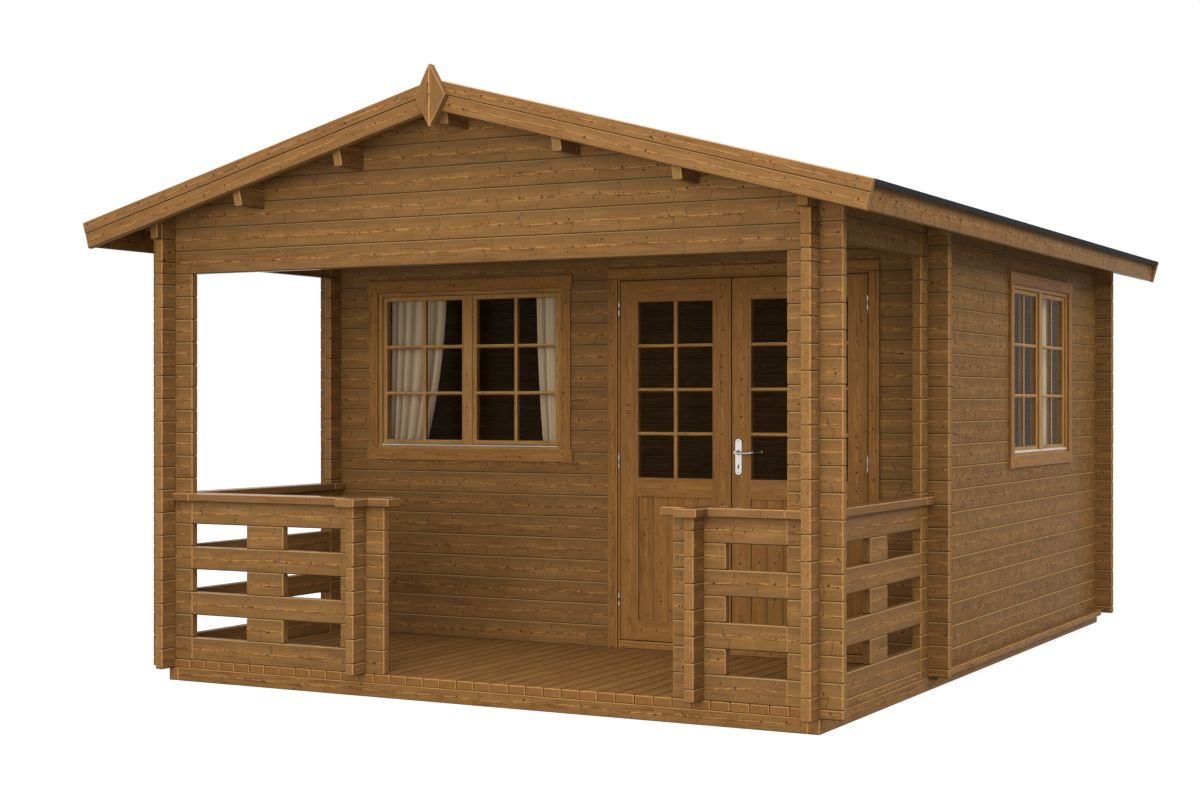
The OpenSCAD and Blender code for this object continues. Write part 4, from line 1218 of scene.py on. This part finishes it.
class CABIN_OT_windows(bpy.types.Operator):
    """Frames, sashes, glazing bars, drip strips and casings of both windows"""
    bl_idname = "cabin.windows"
    bl_label = "Windows"

    def execute(self, context):
        frame_stock, casing_stock, strips = Stock("window_frame_boards"), Stock("window_casing_boards"), []
        frames, casings, panes = (solids(f"window_{kind}") for kind in ("frames", "casings", "glass"))
        for axis, face in enumerate((porch_face(), Face((HALF_W, 0.0, 0.0), Y, X))):
            on_side = [(pane[0][0] > SIDE_WINDOW_X) == (axis == 1) for pane in panes]
            pair = sorted((face.outline(pane) for pane, here in zip(panes, on_side) if here),
                          key=lambda pane: pane[0])
            self.casing(face, casing_stock, *face.outline(casings[axis])[:4])
            self.frame(face, frame_stock, strips, face.outline(frames[axis]), pair)
        casing_stock.build("joinery_timber", "window_casings")
        frame_stock.build("sash_timber", "window_frames")
        place("drip_strips", mesh_of("drip_strips", *joined(strips)), "light_metal")
        return {"FINISHED"}

    def casing(self, face, stock, x0, x1, z0, z1):
        """Boards round a window between square corner blocks, each block cut once from corner to corner. The
        upright boards stand back from the outer side of the blocks."""
        w, t, back = joinery().casing, joinery().casing_t, 0.013
        block, behind = w - 0.004, t - 0.001
        for a, b in ((x0 + back, x0 + w), (x1 - w, x1 - back)):
            face.upright(stock, a, b, z0 + w, z1 - w, 0.0, behind)
        for b0, b1 in ((z0, z0 + w), (z1 - w, z1)):
            face.across(stock, x0 + block, x1 - block, b0, b1, 0.0, behind)
            for a0, a1 in ((x0, x0 + block), (x1 - block, x1)):
                for upper in (True, False):
                    self.half_block(face, stock, a0, a1, b0, b1, t, (b0 == z0) == (a0 == x0), upper)

    def half_block(self, face, stock, a0, a1, b0, b1, t, rising, upper):
        """One of the two wedges of a block, above or below its cut: a rear ring of three points, a front ring,
        and a face drawn in by a chamfer."""
        ends = [(a0, b0), (a1, b1)] if rising else [(a0, b1), (a1, b0)]
        ring = np.array([*ends, (a0 if rising == upper else a1, b1 if upper else b0)])
        if np.cross(ring[1] - ring[0], ring[2] - ring[0]) < 0:
            ring = ring[::-1]
        middle, drawn_in, chamfer = ring.mean(0), 0.93, 0.002
        rings = [(ring, 0.0), (ring, t - chamfer), (middle + (ring - middle) * drawn_in, t)]
        points = np.concatenate([face.origin + r[:, :1] * face.right + r[:, 1:] * Z + a * face.out
                                 for r, a in rings])
        faces = grid_faces(3, 3, closed=True).tolist() + [[6, 7, 8], [2, 1, 0]]
        if np.dot(np.cross(face.right, Z), face.out) < 0:
            faces = [f[::-1] for f in faces]
        along, across = (Z, face.right) if upper else (face.right, Z)
        # Painted highlight on the three chamfer faces of the wedge
        stock.solid(points, faces, along, across, [0, 0, 0, 1, 1, 1, 0, 0])

    def frame(self, face, stock, strips, outline, panes):
        """Mitred frame with two sashes in it. Each holds a pane between two sets of bars and has a drip strip
        under it, and a cover strip hides where they meet."""
        x0, x1, z0, z1, a0, a1 = outline
        front, groove, rim, play, foot_play, pane_rows = 0.002, 0.003, 0.044, 0.0015, 0.002, 3
        meeting, cover_w, cover_t = 0.001, 0.024, 0.016
        back = front - (a1 - a0)
        sash_front, sash_rear, bar_rear = front - 0.013, back + 0.008, back + 0.012
        face.rim(stock, x0, x1, z0, z1, rim, back, front, c=0.002)
        *_, g0, g1, pane_rear, pane_front = panes[0]
        g0, g1, mid = g0 + groove, g1 - groove, (x0 + x1) / 2
        foot, head = z0 + rim + foot_play, z1 - rim - play
        sashes = ((x0 + rim + play, mid - meeting), (mid + meeting, x1 - rim - play))
        for (p0, p1, *_), (s0, s1) in zip(panes, sashes):
            in0, in1 = p0 + groove, p1 - groove
            for a, b in ((s0, in0), (in1, s1)):
                face.upright(stock, a, b, foot, head, sash_rear, sash_front, c=0.0025)
            for b0, b1 in ((foot, g0), (g1, head)):
                face.across(stock, in0, in1, b0, b1, sash_rear, sash_front, c=0.0015)
            glazing(face, stock, in0, in1, g0, g1, pane_front, sash_front - 0.002, pane_rows)
            glazing(face, stock, in0, in1, g0, g1, pane_rear, bar_rear, pane_rows)
            strips.append(self.drip(face, s0 + 0.004, s1 - 0.004, z0 + rim - 0.004, front - 0.006))
        face.upright(stock, mid - cover_w, mid + cover_w, z0 + rim, z1 - rim, sash_front, sash_front + cover_t,
                     c=0.004)

    def drip(self, face, x0, x1, z, a):
        """Bent strip of metal under a sash: a profile of five points carried along."""
        profile = np.array([(-0.010, 0.010), (0.003, 0.010), (0.011, 0.002), (0.011, -0.001), (-0.010, -0.001)])
        profile = profile + (a, z)
        at = face.origin + profile[:, :1] * face.out + profile[:, 1:] * Z
        points = np.concatenate([at + x0 * face.right, at + x1 * face.right])
        n = len(profile)
        faces = [(i, (i + 1) % n, n + (i + 1) % n, n + i) for i in range(n)]
        faces += [tuple(range(n))[::-1], tuple(range(n, 2 * n))]
        if np.dot(np.cross(face.right, face.out), Z) < 0:
            faces = [f[::-1] for f in faces]
        return points, faces


# ---------------------------------------------------------------- fittings


def disc_plate(cx, w, z0, z1, y0, y1, c, front, sides=10):
    """Plate with half-round ends, w wide round cx: its outline is two half circles, ring by ring from the rear
    edge over a chamfer c to the face. front is the direction of its face along Y."""
    r = w / 2
    turn = np.linspace(0, math.pi, sides)
    upper = np.column_stack([cx + r * np.cos(turn), z1 - r + r * np.sin(turn)])
    lower = np.column_stack([cx - r * np.cos(turn), z0 + r - r * np.sin(turn)])
    outline = np.concatenate([upper, lower])
    middle = np.array([cx, (z0 + z1) / 2])
    small = middle + (outline - middle) * (1 - np.array([2 * c / w, 2 * c / (z1 - z0)]))
    rear, face = (y1, y0) if front < 0 else (y0, y1)
    rings = [(outline, rear), (outline, face - front * c), (small, face)]
    points = np.concatenate([np.column_stack([ring[:, 0], np.full(len(ring), y), ring[:, 1]]) for ring, y in rings])
    n = len(outline)
    faces = grid_faces(3, n, closed=True).tolist() + [list(range(2 * n, 3 * n)), list(range(n))[::-1]]
    if front > 0:
        faces = [face_ids[::-1] for face_ids in faces]
    return points, faces


class CABIN_OT_fittings(bpy.types.Operator):
    """Hinges, lock plates with keyholes, the curved lever, and the curtain rods"""
    bl_idname = "cabin.fittings"
    bl_label = "Fittings"

    def execute(self, context):
        for node, body in (("frame_hinges", "cabin"), ("leaf_hinges_left", "door_left"),
                           ("leaf_hinges_right", "door_right")):
            hinges = joined([self.hinge_half(lo, hi) for lo, hi in solids(node)])
            self.piece(node.replace("hinges", "hinge_pins"), hinges, "satin_metal", body, node)
        for node, look in (("curtain_rods", "rod_metal"), ("door_glass_left", "glass"),
                           ("door_glass_right", "glass"), ("window_glass", "glass")):
            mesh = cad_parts[node].data
            mesh.materials.clear()
            mesh.materials.append(material(look)[0])
        lo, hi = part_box("door_lever")
        bar = (hi[2] - lo[2]) / 2
        spindle = np.array([lo[0] + bar, 0.0, (lo[2] + hi[2]) / 2])
        plates, dark, levers = self.locks(spindle, bar, {-1: lo[1], 1: hi[1]}, hi[0])
        self.piece("lock_plate_pair", joined(plates), "satin_metal", "door_right", "lock_plates")
        self.piece("keyholes", joined(dark), "dark_metal", "door_right")
        self.piece("lever_pair", joined(levers), "satin_metal", "lever", "door_lever")
        return {"FINISHED"}

    def piece(self, name, parts, look, body, *nodes):
        """A smooth piece that keeps its sharp edges."""
        obj = place(name, mesh_of(name, *parts, smooth=True), look, *nodes, body=body)
        obj.modifiers.new("edges", "EDGE_SPLIT").split_angle = math.radians(40)

    def locks(self, spindle, bar, reach, end_x):
        """On both sides of the leaf: a plate, its two screws and keyhole, and the lever. Reach is how far the
        levers go to the front (-1) and the rear (1)."""
        plates, dark, levers = [], [], []
        screw_in, key_drop, key_w, key_foot, key_head = 0.014, 0.072, 0.0085, 0.016, 0.008
        for lo, hi in solids("lock_plates"):
            front = -1 if lo[1] < PORCH_Y else 1
            face = lo[1] if front < 0 else hi[1]
            plates.append(disc_plate(spindle[0], hi[0] - lo[0], lo[2], hi[2], lo[1], hi[1], 0.0015, front))
            for z in (lo[2] + screw_in, hi[2] - screw_in):
                dark.append(stud((spindle[0], face, z), front * Y, 0.0035, 0.0008))
            # The keyhole is a dark disc laid on the plate's face: painted shade in place of a hole
            key_z = spindle[2] - key_drop
            dark.append(disc_plate(spindle[0], key_w, key_z - key_foot, key_z + key_head,
                                   *sorted((face + front * 0.0004, face - front * 0.001)), 0.0002, front))
            levers.append(self.lever(spindle, reach[front], face, front, end_x, bar))
        return plates, dark, levers

    def hinge_half(self, lo, hi):
        """Slim barrel turned round the pin line, with a collar at both ends, and a thin plate behind it. The pin
        is one knuckle's radius from the outer side of the CAD solid."""
        knuckle_r, barrel_r, sides = (hi[1] - lo[1]) * 3 / 7, 0.0042, 16
        plate_near, plate_far, plate_in = 0.0015, 0.0032, 0.003
        left = lo[0] < (low("door_leaf_left")[0] + high("door_leaf_right")[0]) / 2
        pin_x = lo[0] + knuckle_r if left else hi[0] - knuckle_r
        profile = [(0.6, 0.0), (1.0, 0.0015), (1.0, 0.004), (0.86, 0.0048)]  # share of the radius, height
        radii = [r for r, _ in profile] + [r for r, _ in reversed(profile)]
        levels = [lo[2] + z for _, z in profile] + [hi[2] - z for _, z in reversed(profile)]
        circle = np.column_stack([*ring_of(sides), np.zeros(sides)]) * barrel_r
        pin = np.array([pin_x, lo[1] + knuckle_r, 0.0])
        rings = np.concatenate([pin + circle * r + z * Z for r, z in zip(radii, levels)])
        faces = grid_faces(len(radii), sides, closed=True).tolist()
        faces += [list(range(sides))[::-1], list(range(len(rings) - sides, len(rings)))]
        own_side = 1.0 if hi[0] - pin_x > pin_x - lo[0] + 0.001 else -1.0
        if abs(hi[0] + lo[0] - 2 * pin_x) < 0.001:
            own_side = -1.0 if left else 1.0
        near, far = sorted((pin_x + own_side * plate_near, pin_x + own_side * plate_far))
        return joined([(rings, faces), brick((near, pin[1], lo[2] + plate_in), (far, hi[1], hi[2] - plate_in))])

    def lever(self, spindle, reach_y, face_y, front, end_x, bar):
        """One lever: a neck out from a round rose, then a grip that dips a little and curls at its end. The
        front one also has the spindle that runs through the leaf."""
        short, dip, rise, curl, curl_from = 0.004, 0.0035, 0.002, 0.012, 0.82
        t = np.linspace(0, 1, 33)
        bow = np.sin(math.pi * t)
        grip_y = reach_y - front * bar
        grip = np.column_stack([
            spindle[0] + (end_x - spindle[0] - short) * t,
            grip_y - front * (curl * np.clip((t - curl_from) / (1 - curl_from), 0, 1) ** 2),
            spindle[2] - dip * bow + rise * t])
        radii = bar * (0.96 - 0.10 * bow) * np.clip((1.02 - t) / 0.05, 0.25, 1) ** 0.5
        radii *= np.clip((t + 0.02) / 0.04, 0.5, 1)
        neck_y = np.linspace(face_y - front * 0.002, grip_y + front * bar * 0.6, 9)
        swell = np.interp(np.linspace(0, 1, 9), [0, 0.15, 0.2, 1], [0.0125, 0.0125, 0.0078, 0.0075])
        parts = [turned(grip, radii, 16), turned(self.through(spindle, neck_y), swell, 20)]
        if front < 0:
            leaf_y = [face_y, face_y + 0.02, face_y + 0.04]
            parts.append(turned(self.through(spindle, leaf_y), np.full(3, 0.005), 12))
        return joined(parts)

    def through(self, spindle, places):
        """Points on the spindle's line at some places from front to rear."""
        n = len(places)
        return np.column_stack([np.full(n, spindle[0]), places, np.full(n, spindle[2])])


class CABIN_OT_curtains(bpy.types.Operator):
    """Curtains drawn to the sides of both windows"""
    bl_idname = "cabin.curtains"
    bl_label = "Curtains"

    def execute(self, context):
        names = ("curtain_porch_left", "curtain_porch_right", "curtain_side_front", "curtain_side_rear")
        boxes = sorted(solids("curtains"), key=lambda b: (b[0][0] > SIDE_WINDOW_X, b[0][0] + b[0][1]))
        for k, (name, (lo, hi)) in enumerate(zip(names, boxes)):
            obj, flat = self.curtain(name, lo, hi, axis=k // 2, outer_low=k % 2 == 0, seed=k)
            if k == 0:
                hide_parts("curtains")
        return {"FINISHED"}

    def curtain(self, name, lo, hi, axis, outer_low, seed):
        """A curtain as a surface over u across and v down. Its folds are sines of u with a sharper crest, broader
        towards the inner edge. Their depth is found so that the path across keeps one length at every height,
        while the inner edge draws in towards the foot."""
        rng = np.random.default_rng(timber().seed + 31 * seed)
        width, height = hi[axis] - lo[axis], hi[2] - lo[2]
        top_width, taper, cut_depth, play, wide = 0.95, 1.8, 0.62, 0.003, width > 0.3
        folds = joinery().folds if wide else max(3, round(joinery().folds * 0.6))
        draw_in, past_edge = (0.34, 0.02) if wide else (0.22, 0.0)
        u, v = np.linspace(0, 1, 30 * folds + 1), np.linspace(0, 1, 41)
        phase = 2 * math.pi * folds * u ** 0.8 + 0.7 * np.sin(2 * math.pi * u * 1.7 + rng.uniform(0, 6))
        depth_limit = (hi[1 - axis] - lo[1 - axis]) / 2 - play
        flat_w = self.length_across(u, width, phase, cut_depth * depth_limit)
        middle = (lo[1 - axis] + hi[1 - axis]) / 2
        points, valley = np.empty((len(v), len(u), 3)), np.empty((len(v), len(u)))
        for row, at in enumerate(v):
            w = width * (top_width - draw_in * at ** taper)
            lean = phase + 0.4 * at * np.sin(2 * math.pi * u * 0.8 + seed)
            depth = min(self.fold_depth(u, w, lean, flat_w, depth_limit * 1.3), depth_limit)
            points[row, :, axis] = lo[axis] + (w * u - past_edge if outer_low else width - w * u)
            points[row, :, 1 - axis] = middle + depth * self.wave(lean)
            points[row, :, 2] = hi[2] - height * at
            # Painted shade for the folds: 0 on the crests that face out of the window, 1 in the hollows
            valley[row] = 0.5 + 0.5 * self.wave(lean) * (-1 if axis else 1)
        mesh = mesh_of(name, points.reshape(-1, 3), grid_faces(len(v), len(u)), smooth=True)
        corners = np.empty(len(mesh.loops), int)
        mesh.loops.foreach_get("vertex_index", corners)
        flat = np.stack(np.broadcast_arrays(u[None] * flat_w, v[:, None] * height), -1).reshape(-1, 2)
        layer = mesh.uv_layers.new(name="cloth")
        layer.data.foreach_set("uv", flat[corners].astype(np.float32).ravel())
        layer = mesh.attributes.new("valley", "FLOAT", "POINT")
        layer.data.foreach_set("value", valley.astype(np.float32).ravel())
        obj = place(name, mesh, "white_cloth" if axis else "curtain_cloth")
        return obj, (float(flat_w), float(height))

    def fold_depth(self, u, width, phase, flat_w, most):
        """Depth of the folds at which the path across is flat_w long, found by halving."""
        least = 0.0
        for _ in range(18):
            middle = (least + most) / 2
            if self.length_across(u, width, phase, middle) < flat_w:
                least = middle
            else:
                most = middle
        return least

    def length_across(self, u, width, phase, depth):
        """Length of the path across the cloth: the sum of its steps."""
        return np.hypot(np.diff(u * width), np.diff(depth * self.wave(phase))).sum()

    def wave(self, phase):
        """Sine with its double added, so that one flank is steeper than the other; never beyond 1."""
        return (np.sin(phase) + 0.28 * np.sin(2 * phase)) / 1.13


# ---------------------------------------------------------------- stage


class CABIN_OT_stage(bpy.types.Operator):
    """Pale floor, white surroundings, soft lamps and the camera"""
    bl_idname = "cabin.stage"
    bl_label = "Stage"

    white = (1.0, 1.0, 1.0)
    # Square lamps, each with its place and its power in watts, that all point at one place
    lamp_size, lamp_tint, lamps_meet = 5.0, (1.0, 0.98, 0.95), (0.0, -1.5, 1.2)
    lamps = (("key", (3.5, -8.5, 9.0), 280.0), ("front", (1.5, -12.0, 2.2), 560.0),
             ("side", (11.0, -1.0, 6.0), 350.0), ("top", (1.5, -5.5, 12.0), 270.0))
    eye, eye_turn = (5.0378, -10.5712, 1.4753), (90.0, 0.0, 27.99)
    lens, sensor, sight = 58.389, 36.0, 200.0

    def execute(self, context):
        scene = context.scene
        scene.view_settings.view_transform = "Standard"
        self.world(scene)
        self.floor(scene)
        for name, at, power in self.lamps:
            lamp = bpy.data.lights.new(name, "AREA")
            lamp.energy, lamp.size, lamp.color = power, self.lamp_size, self.lamp_tint
            self.put(scene, name, lamp, at, self.aim(at, self.lamps_meet))
        camera = bpy.data.cameras.new("camera")
        camera.lens, camera.sensor_width, camera.clip_end = self.lens, self.sensor, self.sight
        scene.camera = self.put(scene, "camera", camera, self.eye, [math.radians(turn) for turn in self.eye_turn])
        return {"FINISHED"}

    def put(self, scene, name, data, at, turn):
        obj = bpy.data.objects.new(name, data)
        obj.location, obj.rotation_euler = at, turn
        scene.collection.objects.link(obj)
        return obj

    def aim(self, at, towards):
        """Turn that points a lamp from one place to another: tilt from straight down, then heading."""
        way = np.subtract(towards, at)
        flat = math.hypot(way[0], way[1])
        return math.atan2(flat, -way[2]), 0.0, math.atan2(-way[0], way[1])

    def direct(self, paint):
        """1 for rays from the camera, from mirrors and through panes."""
        node = paint.add("ShaderNodeLightPath", {}, {}, None)
        seen, mirrored_ray, through = paint.outputs(node, "Is Camera Ray", "Is Glossy Ray", "Is Transmission Ray")
        return seen.most(mirrored_ray).most(through)

    def world(self, scene):
        """White all round."""
        paint = Paint("studio", "worlds")
        scene.world = paint.owner
        lit = paint.add("ShaderNodeBackground", {}, {"Color": self.white, "Strength": 1.0})
        paint.add("ShaderNodeOutputWorld", {}, {"Surface": lit}, None)

    def floor(self, scene):
        """Floor that lights up by itself for direct rays, so that it is white, with a faint shadow, and throws
        little light back on the cabin."""
        size, grey, paler_grey = 60.0, (0.28, 0.28, 0.28), (0.30, 0.30, 0.30)
        points = [(-size, -size, 0.0), (size, -size, 0.0), (size, size, 0.0), (-size, size, 0.0)]
        mesh = mesh_of("floor", points, [(0, 1, 2, 3)])
        paint = Paint("floor")
        cloud = paint.noise(paint.where(), scale=0.6, detail=2.0)
        plain = paint.principled(Base_Color=paint.mix(cloud, grey, paler_grey), Roughness=0.9)
        glow = paint.add("ShaderNodeEmission", {}, {"Color": self.white, "Strength": 0.8})
        lit = paint.add("ShaderNodeAddShader", {}, [plain, glow])
        mesh.materials.append(paint.finish(paint.add("ShaderNodeMixShader", {}, [self.direct(paint), plain, lit])))
        self.put(scene, "floor", mesh, at=ORIGIN, turn=ORIGIN)


class CABIN_PT_panel(bpy.types.Panel):
    """Sizes and colours, and a button for each group of pieces"""
    bl_idname = "CABIN_PT_panel"
    bl_label = "Cabin"
    bl_space_type = "VIEW_3D"
    bl_region_type = "UI"
    bl_category = "Cabin"

    def draw(self, context):
        layout = self.layout
        scene = context.scene
        for group in (scene.cabin_timber, scene.cabin_joinery, scene.cabin_colours):
            column = layout.column()
            for field in group.__annotations__:
                column.prop(group, field)
        for step in STEPS:
            layout.operator(step.bl_idname)


STEPS = (CABIN_OT_base, CABIN_OT_deck, CABIN_OT_posts, CABIN_OT_gable, CABIN_OT_walls, CABIN_OT_railings,
         CABIN_OT_roof, CABIN_OT_bargeboards, CABIN_OT_door_frame, CABIN_OT_door_leaves, CABIN_OT_windows,
         CABIN_OT_fittings, CABIN_OT_curtains, CABIN_OT_stage)
GROUPS = (("cabin_timber", TimberSizes), ("cabin_joinery", JoinerySizes), ("cabin_colours", CabinColours))


def register():
    for cls in (*(group for _, group in GROUPS), *STEPS, CABIN_PT_panel):
        bpy.utils.register_class(cls)
    for name, group in GROUPS:
        setattr(bpy.types.Scene, name, PointerProperty(type=group))


def unregister():
    for name, _ in GROUPS:
        delattr(bpy.types.Scene, name)
    for cls in (CABIN_PT_panel, *reversed(STEPS), *(group for _, group in GROUPS)):
        bpy.utils.unregister_class(cls)


def main():
    register()
    for step in STEPS:
        family, name = step.bl_idname.split(".")
        getattr(getattr(bpy.ops, family), name)()


if __name__ == "__main__":
    main()
